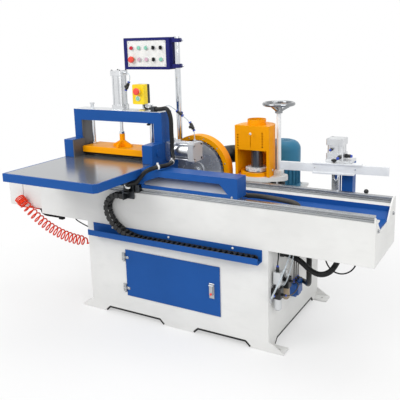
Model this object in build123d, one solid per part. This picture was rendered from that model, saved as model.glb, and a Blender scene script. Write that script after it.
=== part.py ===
from build123d import *
import math
import os

# Finger joint shaper. X runs along the bed, Y runs away from the operator, Z is up.
# The origin is on the floor, in the middle of the four anchor bolts. All sizes are millimetres.

# Base cabinet
base_length = 1126.0
base_depth = 736.0
base_height = 535.0
base_wall = 5.0
base_floor_z = 60.0
foot_height = 34.0
foot_slope = 36.0
end_foot_width = 90.0
centre_foot_width = 168.0
centre_foot_x = 33.0
side_foot_width = 72.0
vent_count = 9
vent_length = 150.0
vent_height = 8.0
vent_pitch = 22.0
vent_z = 240.0
anchor_plate_length = 78.0
anchor_plate_width = 70.0
anchor_plate_thickness = 10.0
anchor_bolt_diameter = 16.0
anchor_bolt_inset = 40.0
anchor_gusset_height = 46.0
anchor_gusset_thickness = 7.0

# Cabinet door, hinges and swing handle lock
door_width = 596.0
door_height = 273.0
door_x = -2.0
door_z = 268.0
door_sheet = 3.0
door_gap = 1.5
door_overlap = 16.0
door_rim_depth = 14.0
door_rim_clearance = 5.0
hinge_offset_z = 92.0
hinge_height = 46.0
hinge_leaf = 21.0
hinge_leaf_thickness = 3.0
hinge_barrel_radius = 6.0
hinge_pin_radius = 3.0
hinge_knuckle_gap = 0.5
lock_from_edge = 47.0
lock_width = 30.0
lock_height = 84.0
lock_case_depth = 5.0
lock_lever_width = 20.0
lock_lever_height = 58.0
lock_lever_thickness = 7.0
lock_button_radius = 6.5

# Main switch on the left wall
switch_y = -318.0
switch_z = 305.0
switch_plate = 66.0
switch_plate_thickness = 5.0
switch_knob_radius = 21.0
switch_knob_depth = 30.0
switch_grip_width = 11.0

# Cable tray on the front wall
tray_left_x = -519.0
tray_right_x = 531.0
tray_depth = 54.0
tray_sheet = 2.5
tray_floor_z = 474.0
tray_lip_height = 32.0

# Bed: a folded beam on the base with a trough and two guide rails
bed_left_x = -920.0
bed_length = 1989.0
bed_width = 390.0
bed_height = 205.0
bed_wall = 8.0
bed_front_flange = 68.0
bed_rear_flange = 88.0
bed_rear_lip = 34.0
trough_floor_depth = 54.0
trough_floor_front = 90.0
trough_floor_rear = 258.0
trough_sheet = 6.0
end_plate_front_rise = 25.0
end_plate_rear_rise = 30.0
rail_width = 30.0
rail_height = 28.0
rail_from_front = 28.0
rail_from_rear = 22.0
rail_end_gap = 3.0

# End box on the left of the bed, with its cable elbow and hose elbow
end_box_length = 305.0
end_box_setback = 38.0
end_box_depth = 250.0
end_box_lift = 14.0
end_box_height = 180.0
end_box_sheet = 2.5
end_box_joint = 108.0
end_box_rib_height = 4.0
elbow_radius = 7.0
elbow_run = 205.0
hose_elbow_x = -978.0
hose_elbow_y = 22.0

# Feed cylinder in the trough
feed_from_front = 122.0
feed_axis_drop = 12.0
feed_barrel_radius = 30.0
feed_bore_radius = 25.0
feed_cap = 62.0
feed_cap_length = 34.0
feed_left_x = -908.0
feed_right_x = 300.0
feed_rod_radius = 14.0
feed_piston_length = 40.0
feed_stroke = 1050.0

# Carriage: bearing blocks, sub frame, table and the arm that reaches the feed rod
block_length = 105.0
block_width = 62.0
block_lift = 6.0
block_top = 46.0
block_left_inset = 63.0
block_right_inset = 58.0
block_clearance = 0.5
sub_frame_height = 40.0
sub_frame_width = 40.0
table_left_x = -815.0
table_length = 635.0
table_rear_reach = 3.0
table_depth = 755.0
table_edge = 45.0
table_rim = 10.0
table_plate = 12.0
table_corner_x = 16.0
table_corner_y = 20.0
table_rib = 8.0
arm_end_x = 394.0
arm_setback = 15.0
arm_depth = 100.0
arm_wall = 8.0
arm_drop = 103.0
arm_strip = 18.0
arm_band = 34.0
arm_window_left_x = -166.0
arm_window_left_edge = 17.0
arm_window_left_slope = 96.0
arm_skirt_left_x = -260.0
arm_window_right_x = 340.0
arm_window_right_slope = 46.0
arm_chute_sheet = 3.0
foot_skid_length = 46.0
rod_lug_length = 34.0
rod_lug_width = 62.0

# Gantry over the table
gantry_rear_setback = 61.0
gantry_right_reach = 3.0
gantry_depth = 104.0
gantry_leg = 55.0
gantry_opening = 212.0
gantry_beam = 66.0
gantry_edge = 3.0
jaw_width = 68.0
jaw_depth = 105.0
jaw_height = 105.0
fence_thickness = 6.0
fence_margin = 2.0
jaw_plug_radius = 21.0
jaw_plug_thickness = 6.0
jaw_screw_radius = 8.0
jaw_screw_length = 18.0

# Press: cylinder, rods and plate
press_cap = 75.0
press_cap_height = 30.0
press_barrel_length = 168.0
press_barrel_width = 66.0
press_bore_radius = 27.0
press_piston_height = 22.0
press_rod_radius = 10.0
press_guide_radius = 11.0
press_guide_inset = 17.0
press_plate_left_gap = 3.0
press_plate_right_gap = 2.0
press_plate_depth = 162.0
press_plate_height = 36.0
press_pad_thickness = 10.0
press_pad_inset = 6.0
press_rest_gap = 12.0
press_hub_radius = 16.0
press_hub_height = 76.0
press_rib_reach = 68.0
press_rib_height = 36.0
press_rib_thickness = 14.0
press_nut_radius = 17.0
press_nut_height = 13.0
running_gap = 0.08

# Side clamp: cylinder on the right leg and its pusher
side_axis_offset = 31.0
side_axis_lift = 54.0
side_cap = 106.0
side_cap_length = 34.0
side_flange = 12.0
side_barrel_length = 100.0
side_barrel_radius = 50.0
side_bore_radius = 46.0
side_piston_length = 24.0
side_rod_radius = 12.5
pusher_thickness = 13.0
pusher_gap = 3.0
pusher_width = 96.0
pusher_height = 74.0
pusher_stroke = 14.0

# Tie rod cylinders share these
tie_rod_radius = 4.0
tie_rod_inset = 10.0
tie_nut_radius = 7.0
tie_nut_height = 7.0
barrel_groove = 4.0
port_radius = 8.0
port_length = 16.0

# Two button station on the gantry
station_offset_x = 116.0
station_width = 78.0
station_height = 112.0
station_cover_depth = 38.0
station_back_depth = 24.0
station_lift = 38.0
station_setback = 18.0
station_edge = 5.0

# Drag chain between the tray and the carriage
chain_y = -396.0
chain_pitch = 30.0
chain_width = 44.0
chain_height = 30.0
chain_wall = 5.0
chain_bar = 12.0
chain_gap = 0.8
chain_top_x = -262.0
chain_top_z = 726.0
chain_bend_radius = 82.0
chain_right_x = 505.0
chain_bracket_length = 48.0

# Conduit from the drag chain to the gantry, and the cable from there to the button station
conduit_radius = 12.0
conduit_low_z = 752.0
conduit_rise_x = -120.0
conduit_rise_y = -129.0
conduit_top_x = -226.0
conduit_top_y = -119.0
station_cable_radius = 4.5
air_line_radius = 2.5

# Trim saw
saw_x = -73.0
saw_drop = 80.0
saw_front_gap = 38.0
saw_radius = 175.0
saw_thickness = 3.2
saw_teeth = 48
saw_gullet = 9.0
saw_flange_radius = 46.0
saw_flange_thickness = 9.0
saw_arbor_radius = 15.0
saw_hood_inner = 178.0
saw_hood_outer = 204.0
saw_hood_depth = 62.0
saw_hood_sheet = 2.5
saw_hood_skirt = 20.0
saw_motor_radius = 76.0
saw_motor_length = 215.0
saw_motor_fins = 18
saw_motor_fin_height = 9.0
saw_stand_width = 150.0
duct_radius = 52.0
duct_wall = 4.0
duct_rise = 75.0
duct_x = 55.0
duct_straight = 85.0
duct_reach = 82.0
duct_elbow_radius = 58.0
duct_drop_radius = 78.0

# Spindle unit
spindle_x = 281.0
spindle_y = 130.0
spindle_base_drop = 86.0
spindle_plate_thickness = 25.0
spindle_plate_radius = 112.0
column_end_radius = 50.0
spindle_plate_gap = 6.0
spindle_leg = 12.0
spindle_leg_from_left = 82.0
spindle_leg_front = 68.0
spindle_leg_rear = 100.0
quill_radius = 46.0
quill_height = 150.0
quill_flange_radius = 62.0
quill_flange_height = 9.0
quill_rise = 13.0
quill_travel = 24.0
quill_sleeve_radius = 60.0
quill_sleeve_drop = 70.0
spindle_radius = 20.0
spindle_collar_radius = 34.0
spindle_collar_count = 5
spindle_collar_height = 22.0
spindle_nut_radius = 26.0
spindle_nut_height = 24.0
spindle_drum_radius = 40.0
spindle_drum_height = 96.0
cutter_radius = 65.0
cutter_height = 18.0
cutter_wings = 6
cutter_gullet = 17.0
hood_half_width = 103.0
hood_front = 70.0
hood_sheet = 3.0
hood_face_height = 137.0
hood_height = 283.0
hood_leg = 15.0
hood_ring_inner = 74.0
hood_ring_outer = 92.0
hood_ring_height = 21.0
hood_spigot_radius = 52.0
hood_spigot_height = 30.0
hood_slot_count = 6

# Spindle motor on its plate behind the spindle, and the flat belt
motor_x = 325.0
motor_y = 400.0
motor_radius = 108.0
motor_height = 280.0
motor_cowl_height = 120.0
motor_cowl_round = 52.0
motor_fins = 24
motor_fin_height = 12.0
motor_plate_half = 122.0
motor_plate_thickness = 16.0
motor_plate_lift = 106.0
motor_shaft_radius = 19.0
motor_pulley_radius = 70.0
motor_pulley_height = 60.0
motor_box_width = 96.0
motor_box_depth = 46.0
motor_box_height = 110.0
belt_width = 45.0
belt_thickness = 4.0
belt_lift = 38.0
belt_gap = 0.4

# Handwheel and its column
column_offset_x = 127.0
column_offset_y = 12.0
column_radius = 12.5
column_height = 348.0
column_block = 44.0
column_block_height = 32.0
handwheel_radius = 90.0
handwheel_rim_radius = 10.0
handwheel_hub_radius = 21.0
handwheel_hub_height = 34.0
handwheel_spokes = 3
handwheel_dish = 22.0
handwheel_gap = 1.0
handwheel_screw_radius = 7.0

# Control panel on its pole
pole_x = -272.0
pole_y = 200.0
pole_radius = 18.0
pole_top_z = 1562.0
pole_flange_radius = 52.0
pole_flange_thickness = 10.0
panel_width = 336.0
panel_height = 192.0
panel_depth = 76.0
panel_sheet = 2.0
panel_frame = 24.0
panel_recess = 4.0
panel_face_thickness = 2.0
panel_from_pole = 30.0
clamp_width = 46.0
clamp_height = 24.0
clamp_inset = 8.0
clamp_bolt_radius = 4.0
control_pitch_x = 54.0
control_pitch_z = 70.0
control_bezel_radius = 14.5
control_bezel_height = 6.0
control_cap_radius = 11.5
control_cap_height = 10.0
control_gap = 0.5
mushroom_radius = 20.0
mushroom_height = 20.0
lamp_radius = 11.0

# Aligner: post, cylinder, rod and bar behind the bed
aligner_x = 738.0
aligner_y = 135.0
aligner_turn = 6.7
aligner_cap = 90.0
aligner_cap_height = 34.0
aligner_barrel_length = 42.0
aligner_barrel_width = 80.0
aligner_bore_radius = 33.0
aligner_rod_radius = 25.0
aligner_rod_length = 300.0
aligner_plate_thickness = 12.0
aligner_plate_lift = 24.0
aligner_post = 58.0
aligner_post_offset = 59.0
aligner_bar_length = 559.0
aligner_bar_height = 44.0
aligner_bar_thickness = 22.0
aligner_bar_setback = 68.0
aligner_bar_lift = 17.0
aligner_clamp_length = 250.0
aligner_clamp_plate = 8.0
aligner_clamp_depth = 46.0
aligner_piston_height = 14.0

# Index pin behind the bed
index_x = 918.0
index_ball_radius = 12.0
index_pin_radius = 4.0
index_ball_lift = 28.0
index_block = 24.0
index_block_depth = 42.0

# Air service unit on the right wall
air_front_y = -320.0
air_rear_y = -212.0
air_low_z = 214.0
air_body = 46.0
air_body_height = 54.0
air_bowl_radius = 20.0
air_bowl_height = 66.0
air_riser_radius = 11.0
air_head_height = 62.0
air_bracket = 6.0
air_link_z = 330.0
valve_box_left_y = -86.0
valve_box_right_y = 16.0
valve_box_z = 184.0
valve_box_height = 70.0
valve_box_depth = 34.0

# Loose hoses: radii, and routes chosen by hand
thick_hose_radius = 14.0
thin_cable_radius = 3.5
trough_hose_radius = 13.0
red_hose_radius = 4.0
red_curls = 17
red_bundle_turns = 5
red_curl_radius = 27.0

# Levels and lines that follow from the sizes above
half_length = base_length / 2
half_depth = base_depth / 2
bed_front = -half_depth
bed_rear = bed_front + bed_width
bed_right_x = bed_left_x + bed_length
bed_bottom = base_height
bed_top = bed_bottom + bed_height
rail_front_y = bed_front + rail_from_front
rail_rear_y = bed_rear - rail_from_rear
block_top_z = bed_top + block_top
frame_top_z = block_top_z + sub_frame_height
table_z = frame_top_z + table_edge
table_right_x = table_left_x + table_length
table_rear = bed_rear + table_rear_reach
table_front = table_rear - table_depth
arm_front = bed_front + arm_setback
arm_rear = arm_front + arm_depth
arm_bottom = table_z - arm_drop
gantry_rear = table_rear - gantry_rear_setback
gantry_front_y = gantry_rear - gantry_depth
gantry_mid_y = gantry_front_y + gantry_depth / 2
gantry_beam_z = table_z + gantry_opening
gantry_top = gantry_beam_z + gantry_beam
leg_left_x = table_left_x + gantry_leg
leg_right_x = table_right_x + gantry_right_reach
leg_right_inner = leg_right_x - gantry_leg
gantry_mid_x = (leg_left_x + leg_right_inner) / 2
station_left_x = gantry_mid_x + station_offset_x
station_front_y = gantry_front_y + station_setback
side_axis_y = gantry_mid_y + side_axis_offset
fence_x = table_left_x + jaw_width + fence_thickness
plate_left_x = fence_x + press_plate_left_gap
pusher_face_x = leg_right_inner - pusher_gap - pusher_thickness
plate_right_x = pusher_face_x - pusher_stroke - press_plate_right_gap
press_guide_spread = plate_right_x - press_guide_inset - gantry_mid_x
plate_bottom = table_z + press_rest_gap + press_pad_thickness
plate_top = plate_bottom + press_plate_height
saw_z = table_z - saw_drop
saw_front = bed_rear + saw_front_gap
feed_y = bed_front + feed_from_front
feed_z = bed_top - feed_axis_drop
spindle_base_z = table_z - spindle_base_drop
hood_top_z = spindle_base_z + hood_height
motor_plate_z = base_height + motor_plate_lift
belt_z = base_height + belt_lift
aligner_plate_z = table_z + aligner_plate_lift
panel_bottom = pole_top_z - panel_height - 4.0


def block(x0, x1, y0, y1, z0, z1):
    """A box between two corners."""
    return Pos((x0 + x1) / 2, (y0 + y1) / 2, (z0 + z1) / 2) * Box(x1 - x0, y1 - y0, z1 - z0)


def along_x(points, x0, x1):
    """A prism from x0 to x1 whose outline is in (y, z)."""
    return extrude(Plane.YZ.offset(x0) * Polygon(*points, align=None), x1 - x0, dir=(1, 0, 0))


def along_y(points, y0, y1):
    """A prism from y0 to y1 whose outline is in (x, z)."""
    return extrude(Plane.XZ.offset(-y0) * Polygon(*points, align=None), y1 - y0, dir=(0, 1, 0))


def along_z(points, z0, z1):
    """A prism from z0 to z1 whose outline is in (x, y)."""
    return extrude(Plane.XY.offset(z0) * Polygon(*points, align=None), z1 - z0, dir=(0, 0, 1))


def bar_x(radius, x0, x1, y, z):
    """A round bar along X."""
    return Pos((x0 + x1) / 2, y, z) * Rot(0, 90, 0) * Cylinder(radius, x1 - x0)


def bar_y(radius, y0, y1, x, z):
    """A round bar along Y."""
    return Pos(x, (y0 + y1) / 2, z) * Rot(90, 0, 0) * Cylinder(radius, y1 - y0)


def bar_z(radius, z0, z1, x, y):
    """A round bar along Z."""
    return Pos(x, y, (z0 + z1) / 2) * Cylinder(radius, z1 - z0)


def hex_z(radius, z0, z1, x, y):
    """A hexagon nut or head along Z."""
    return Pos(x, y, z0) * extrude(RegularPolygon(radius, 6), z1 - z0)


def ring_point(radius, degrees):
    """A point on a circle about the origin."""
    turn = math.radians(degrees)
    return (radius * math.cos(turn), radius * math.sin(turn))


def tube(points, radius):
    """A round tube along straight runs joined by the largest tangent arcs that fit."""
    vectors = [Vector(*p) for p in points]
    radii = []
    for before, corner, after in zip(vectors, vectors[1:], vectors[2:]):
        turn = math.radians((corner - before).get_angle(after - corner))
        run = min((corner - before).length, (after - corner).length)
        radii.append(0.45 * run / math.tan(turn / 2))
    path = FilletPolyline(*points, radius=radii)
    solid = sweep(Plane(path @ 0, z_dir=path % 0) * Circle(radius), path=path)
    wanted = math.pi * radius**2 * path.length
    print("tube", round(path.length), "mm, radii", [round(r) for r in radii],
          "volume over section times length", round(solid.volume / wanted, 4))
    return solid


def biarc(start, start_dir, end, end_dir):
    """Two arcs that leave start along start_dir and reach end along end_dir."""
    span = end - start
    total = start_dir + end_dir
    a = 2 * (start_dir.dot(end_dir) - 1)
    b = -2 * span.dot(total)
    c = span.dot(span)
    if abs(a) < 1e-9:
        reach = -c / b
    else:
        reach = (-b - math.sqrt(b * b - 4 * a * c)) / (2 * a)
    first = start + start_dir * reach
    second = end - end_dir * reach
    middle = (first + second) * 0.5
    return [TangentArc(start, middle, tangent=start_dir),
            TangentArc(middle, end, tangent=second - first)]


def cylinder_caps(cap, cap_length, total):
    """The two square end caps of a pneumatic cylinder that stands on Z."""
    lower = block(-cap / 2, cap / 2, -cap / 2, cap / 2, 0, cap_length)
    upper = block(-cap / 2, cap / 2, -cap / 2, cap / 2, total - cap_length, total)
    return chamfer(lower.edges().filter_by(Axis.Z), cap * 0.05) + chamfer(upper.edges().filter_by(Axis.Z),
                                                                          cap * 0.05)


def tie_rod_cylinder(cap, cap_length, barrel_length, barrel_radius, bore_radius, rod_radius):
    """A pneumatic cylinder that stands on Z: two square caps, a round barrel, four tie rods and nuts."""
    total = 2 * cap_length + barrel_length
    body = cylinder_caps(cap, cap_length, total) + bar_z(barrel_radius, cap_length, total - cap_length, 0, 0)
    body -= bar_z(bore_radius, cap_length, total - cap_length, 0, 0)
    body -= bar_z(rod_radius + running_gap, -1, cap_length + 1, 0, 0)
    reach = cap / 2 - tie_rod_inset
    for sx in (-1, 1):
        for sy in (-1, 1):
            body += bar_z(tie_rod_radius, cap_length, total - cap_length, sx * reach, sy * reach)
            body += hex_z(tie_nut_radius, total, total + tie_nut_height, sx * reach, sy * reach)
    return body


def profile_cylinder(cap, cap_length, barrel_length, barrel_width, bore_radius, rod_radius):
    """A pneumatic cylinder that stands on Z: square caps on a grooved square barrel."""
    total = 2 * cap_length + barrel_length
    w = barrel_width / 2
    barrel = block(-w, w, -w, w, cap_length, total - cap_length)
    barrel = chamfer(barrel.edges().filter_by(Axis.Z), barrel_width * 0.09)
    g = barrel_groove / 2
    for turn in range(4):
        for offset in (-w * 0.52, w * 0.52):
            groove = block(offset - g, offset + g, w - barrel_groove * 0.7, w + 1, cap_length,
                           total - cap_length)
            barrel -= Rot(0, 0, turn * 90) * groove
    body = cylinder_caps(cap, cap_length, total) + barrel
    body -= bar_z(bore_radius, cap_length, total - cap_length, 0, 0)
    body -= bar_z(rod_radius + running_gap, -1, cap_length + 1, 0, 0)
    reach = cap / 2 - tie_rod_inset
    for sx in (-1, 1):
        for sy in (-1, 1):
            body -= bar_z(tie_nut_radius * 0.75, total - 4.0, total + 1, sx * reach, sy * reach)
    return body


def push_fitting(radius, length):
    """A push-in air fitting along +Z: a hexagon foot and a round collar."""
    return hex_z(radius, 0, length * 0.45, 0, 0) + bar_z(radius * 0.78, length * 0.45, length, 0, 0)


def make_base_cabinet():
    """White welded cabinet with feet, a door opening, rear vents and four anchor plates."""
    w = base_wall
    shell = block(-half_length, half_length, -half_depth, half_depth, 0, base_height)
    inner = (-half_length + w, half_length - w, -half_depth + w, half_depth - w)
    shell -= block(*inner, base_floor_z + w, base_height - w)
    shell -= block(*inner, -1, base_floor_z)
    spans = [(-half_length + end_foot_width, centre_foot_x - centre_foot_width / 2),
             (centre_foot_x + centre_foot_width / 2, half_length - end_foot_width)]
    for left, right in spans:
        outline = [(left, -1), (right, -1), (right - foot_slope, foot_height),
                   (left + foot_slope, foot_height)]
        shell -= along_y(outline, -half_depth - 1, half_depth + 1)
    side = half_depth - side_foot_width
    outline = [(-side, -1), (side, -1), (side - foot_slope, foot_height), (-side + foot_slope, foot_height)]
    shell -= along_x(outline, -half_length - 1, half_length + 1)
    hole_x = door_width / 2 - door_overlap
    hole_z = door_height / 2 - door_overlap
    shell -= block(door_x - hole_x, door_x + hole_x, -half_depth - 1, -half_depth + w + 1,
                   door_z - hole_z, door_z + hole_z)
    for i in range(vent_count):
        z = vent_z + (i - (vent_count - 1) / 2) * vent_pitch
        shell -= block(-vent_length / 2, vent_length / 2, half_depth - w - 1, half_depth + 1,
                       z - vent_height / 2, z + vent_height / 2)
    for sx in (-1, 1):
        for sy in (-1, 1):
            y_out = sy * half_depth
            y_in = sy * (half_depth - anchor_plate_width)
            x_out = sx * (half_length + anchor_plate_length)
            plate = block(min(sx * half_length, x_out), max(sx * half_length, x_out), min(y_out, y_in),
                          max(y_out, y_in), 0, anchor_plate_thickness)
            bolt_x = sx * (half_length + anchor_bolt_inset)
            bolt_y = sy * (half_depth - anchor_plate_width / 2)
            plate -= bar_z(anchor_bolt_diameter / 2, -1, anchor_plate_thickness + 1, bolt_x, bolt_y)
            gusset = along_y([(sx * half_length, anchor_plate_thickness), (x_out, anchor_plate_thickness),
                              (sx * half_length, anchor_plate_thickness + anchor_gusset_height)],
                             min(y_out, y_out - sy * anchor_gusset_thickness),
                             max(y_out, y_out - sy * anchor_gusset_thickness))
            shell += plate + gusset
    return shell


def door_lines():
    """Left edge, right edge, bottom, top, back face and front face of the door."""
    back = -half_depth - door_gap
    return (door_x - door_width / 2, door_x + door_width / 2, door_z - door_height / 2,
            door_z + door_height / 2, back, back - door_sheet)


def hinge_axis():
    """Where the door's hinge pins stand, in x and y."""
    left, _, _, _, _, front = door_lines()
    return left - hinge_barrel_radius, front - hinge_barrel_radius


def hinge_levels():
    """The middle heights of the two hinges."""
    return door_z - hinge_offset_z, door_z + hinge_offset_z


def make_door_hinges():
    """Two butt hinges: wall leaf, outer knuckles and pin."""
    hx, hy = hinge_axis()
    pieces = []
    for z in hinge_levels():
        low, high = z - hinge_height / 2, z + hinge_height / 2
        third = hinge_height / 3
        hinge = block(hx - hinge_leaf, hx, -half_depth - hinge_leaf_thickness, -half_depth, low, high)
        for z0, z1 in ((low, low + third), (high - third, high)):
            hinge += bar_z(hinge_barrel_radius, z0, z1, hx, hy)
            hinge += block(hx - hinge_barrel_radius, hx, hy, -half_depth, z0, z1)
        hinge -= block(hx - hinge_barrel_radius - 1, hx + 1, hy - hinge_barrel_radius - 1, -half_depth + 1,
                       low + third, high - third)
        hinge += bar_z(hinge_pin_radius, low, high, hx, hy)
        pieces.append(hinge)
    return pieces


def make_door_panel():
    """Blue door: a folded pan with its hinge knuckles and the case of the lock."""
    left, right, low, high, back, front = door_lines()
    door = block(left, right, front, back, low, high)
    inset = door_overlap + door_rim_clearance
    rim = block(left + inset, right - inset, back, back + door_rim_depth, low + inset, high - inset)
    t = door_sheet
    rim -= block(left + inset + t, right - inset - t, back - 1, back + door_rim_depth + 1,
                 low + inset + t, high - inset - t)
    door += rim
    hx, hy = hinge_axis()
    for z in hinge_levels():
        third = hinge_height / 3
        z0 = z - third / 2 + hinge_knuckle_gap
        z1 = z + third / 2 - hinge_knuckle_gap
        knuckle = bar_z(hinge_barrel_radius, z0, z1, hx, hy)
        knuckle += block(hx, left + hinge_leaf, front - hinge_leaf_thickness, front, z0, z1)
        knuckle -= bar_z(hinge_pin_radius + running_gap, z0 - 1, z1 + 1, hx, hy)
        door += knuckle
    case_x = right - lock_from_edge
    case = block(case_x - lock_width / 2, case_x + lock_width / 2, front - lock_case_depth, front,
                 door_z - lock_height / 2, door_z + lock_height / 2)
    case = chamfer(case.faces().sort_by(Axis.Y)[0].edges(), 2.0)
    door += case
    return door


def make_door_lock():
    """Swing handle of the door lock with its push button."""
    _, right, _, _, _, front = door_lines()
    x = right - lock_from_edge
    y = front - lock_case_depth - 0.4
    top = door_z + lock_height / 2 - 8.0
    pivot = lock_lever_thickness / 2
    lever = block(x - lock_lever_width / 2, x + lock_lever_width / 2, y - lock_lever_thickness, y,
                  top - lock_lever_height, top - pivot)
    lever = fillet(lever.edges().filter_by(Axis.Y).sort_by(Axis.Z)[:2], 5.0)
    lever += bar_x(pivot, x - lock_lever_width / 2 - 3.0, x + lock_lever_width / 2 + 3.0, y - pivot,
                   top - pivot)
    button_z = top - lock_lever_height + lock_button_radius + 3.0
    return lever + bar_y(lock_button_radius, y - lock_lever_thickness - 3.0, y - lock_lever_thickness, x,
                         button_z)


def make_main_switch():
    """Rotary main switch: knob with a grip bar, on a square plate of the same handle."""
    x = -half_length
    knob = bar_x(switch_knob_radius, x - 0.5 - switch_knob_depth * 0.55, x - 0.5, switch_y, switch_z)
    grip = block(x - 0.5 - switch_knob_depth, x - 0.5, switch_y - switch_grip_width / 2,
                 switch_y + switch_grip_width / 2, switch_z - switch_knob_radius * 1.3,
                 switch_z + switch_knob_radius * 1.3)
    return knob + grip


def make_chain_tray():
    """Blue folded tray on the front wall for the drag chain."""
    y0 = -half_depth - tray_depth
    s = tray_sheet
    top = base_height - 1.0
    outline = [(-half_depth, tray_floor_z), (-half_depth, top), (-half_depth - s, top),
               (-half_depth - s, tray_floor_z + s), (y0 + s, tray_floor_z + s),
               (y0 + s, tray_floor_z + tray_lip_height), (y0, tray_floor_z + tray_lip_height),
               (y0, tray_floor_z)]
    return along_x(outline, tray_left_x, tray_right_x)


def notch_outline(front_z, rear_z):
    """End plate outline with the notch that the feed lug passes through, in (y, z)."""
    floor = bed_top - trough_floor_depth - 5.0
    front_floor = bed_front + trough_floor_front
    rear_floor = bed_front + trough_floor_rear - 21.0
    rear_top = bed_rear - bed_rear_flange - 4.0
    return [(bed_front, bed_bottom), (bed_rear, bed_bottom), (bed_rear, rear_z),
            (bed_rear - bed_rear_flange / 2, rear_z), (rear_top, bed_top), (rear_floor, floor),
            (front_floor, floor), (bed_front + 6.0, front_z), (bed_front, front_z)]


def make_bed_beam():
    """White folded beam with inward flanges for the rails and a notched plate on each end."""
    t = bed_wall
    front_edge = bed_front + bed_front_flange
    rear_edge = bed_rear - bed_rear_flange
    outline = [(bed_front, bed_bottom), (bed_rear, bed_bottom), (bed_rear, bed_top), (rear_edge, bed_top),
               (rear_edge, bed_top - bed_rear_lip), (rear_edge + t, bed_top - bed_rear_lip),
               (rear_edge + t, bed_top - t), (bed_rear - t, bed_top - t), (bed_rear - t, bed_bottom + t),
               (bed_front + t, bed_bottom + t), (bed_front + t, bed_top - t), (front_edge, bed_top - t),
               (front_edge, bed_top), (bed_front, bed_top)]
    beam = along_x(outline, bed_left_x, bed_right_x)
    plate = notch_outline(bed_top + end_plate_front_rise, bed_top + end_plate_rear_rise)
    beam += along_x(plate, bed_left_x, bed_left_x + t)
    beam += along_x(plate, bed_right_x - t, bed_right_x)
    return beam


def make_bed_trough():
    """Blue folded trough between the flanges of the bed."""
    front_edge = bed_front + bed_front_flange
    rear_edge = bed_rear - bed_rear_flange
    floor = bed_top - trough_floor_depth
    front_floor = bed_front + trough_floor_front
    rear_floor = bed_front + trough_floor_rear
    s = trough_sheet
    rear_top = bed_top - bed_rear_lip + bed_wall
    outline = [(front_edge, bed_top), (front_floor, floor), (rear_floor, floor), (rear_edge, rear_top),
               (rear_edge, rear_top - bed_wall), (rear_floor + s, floor - s), (front_floor - s, floor - s),
               (front_edge, bed_top - bed_wall)]
    return along_x(outline, bed_left_x + bed_wall, bed_right_x - bed_wall)


def rail_outline(y):
    """Section of a profile rail with a waist, in (y, z)."""
    w = rail_width / 2
    h = rail_height
    half = [(w, 0), (w, h * 0.32), (w * 0.66, h * 0.46), (w * 0.66, h * 0.6), (w, h * 0.74), (w, h * 0.96),
            (w * 0.92, h)]
    return [(y + a, bed_top + b) for a, b in half] + [(y - a, bed_top + b) for a, b in reversed(half)]


def make_guide_rails():
    """Two steel profile rails on the bed's flanges."""
    x0 = bed_left_x + bed_wall + rail_end_gap
    x1 = bed_right_x - bed_wall - rail_end_gap
    return [along_x(rail_outline(y), x0, x1) for y in (rail_front_y, rail_rear_y)]


def make_end_box():
    """White sheet box on the left of the bed, with a joint rib, a cable pipe and a hose elbow below."""
    x0 = bed_left_x - end_box_length
    x1 = bed_left_x
    y0 = bed_front + end_box_setback
    y1 = y0 + end_box_depth
    z0 = bed_bottom + end_box_lift
    z1 = z0 + end_box_height
    s = end_box_sheet
    box = block(x0, x1, y0, y1, z0, z1)
    box = chamfer(box.edges().filter_by(Axis.X).sort_by(Axis.Z)[-2:], 6.0)
    box -= block(x0 + s, x1 + 1, y0 + s, y1 - s, z0 + s, z1 - s)
    box += block(x0 + end_box_joint, x0 + end_box_joint + end_box_rib_height * 3, y0 - end_box_rib_height,
                 y0,
                 z0, z1 - 6.0)
    pipe_x = x1 - 48.0
    pipe_y = y0 + 8.0
    pipe_z = bed_bottom - elbow_radius - 5.0
    run_y = bed_front + elbow_radius + 10.0
    pipe = tube([(pipe_x, pipe_y, z0), (pipe_x, pipe_y, z0 - 12.0), (pipe_x + 8.0, pipe_y - 3.0, pipe_z),
                 (pipe_x + 26.0, pipe_y - 10.0, pipe_z - 2.0), (pipe_x + 64.0, run_y, pipe_z - 1.0),
                 (pipe_x + 110.0, run_y, pipe_z), (pipe_x + elbow_run, run_y, pipe_z)], elbow_radius)
    pipe_y = run_y
    clip = block(pipe_x + elbow_run - 30.0, pipe_x + elbow_run, pipe_y - elbow_radius - 4.0,
                 pipe_y + elbow_radius + 4.0, pipe_z - elbow_radius - 4.0, bed_bottom)
    clip -= bar_x(elbow_radius + 2.0, pipe_x + elbow_run - 40.0, pipe_x + elbow_run + 10.0, pipe_y,
                  pipe_z - 1.0)
    fitting_z = z0 - 13.0
    fitting_y = y0 + hose_elbow_y
    elbow = bar_z(7.0, fitting_z - 7.0, z0, hose_elbow_x, fitting_y)
    elbow += bar_x(7.0, hose_elbow_x - 14.0, hose_elbow_x, fitting_y, fitting_z)
    return [box, pipe, clip, elbow]


def make_feed_cylinder():
    """Long feed cylinder in the trough: barrel and two square heads on saddles."""
    y, z = feed_y, feed_z
    h = feed_cap / 2
    floor = bed_top - trough_floor_depth
    body = bar_x(feed_barrel_radius, feed_left_x, feed_right_x, y, z)
    body += block(feed_left_x, feed_left_x + feed_cap_length, y - h, y + h, z - h, z + h)
    body += block(feed_right_x - feed_cap_length, feed_right_x, y - h, y + h, floor, z + h)
    body -= bar_x(feed_bore_radius, feed_left_x + feed_cap_length, feed_right_x - feed_cap_length, y, z)
    body -= bar_x(feed_rod_radius + running_gap, feed_right_x - feed_cap_length - 1, feed_right_x + 1, y, z)
    for x in (bed_left_x + 60.0, (feed_left_x + feed_right_x) / 2):
        saddle = block(x, x + 30.0, y - h, y + h, floor, z)
        body += saddle - bar_x(feed_bore_radius, x - 1, x + 31.0, y, z)
    return body


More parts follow.
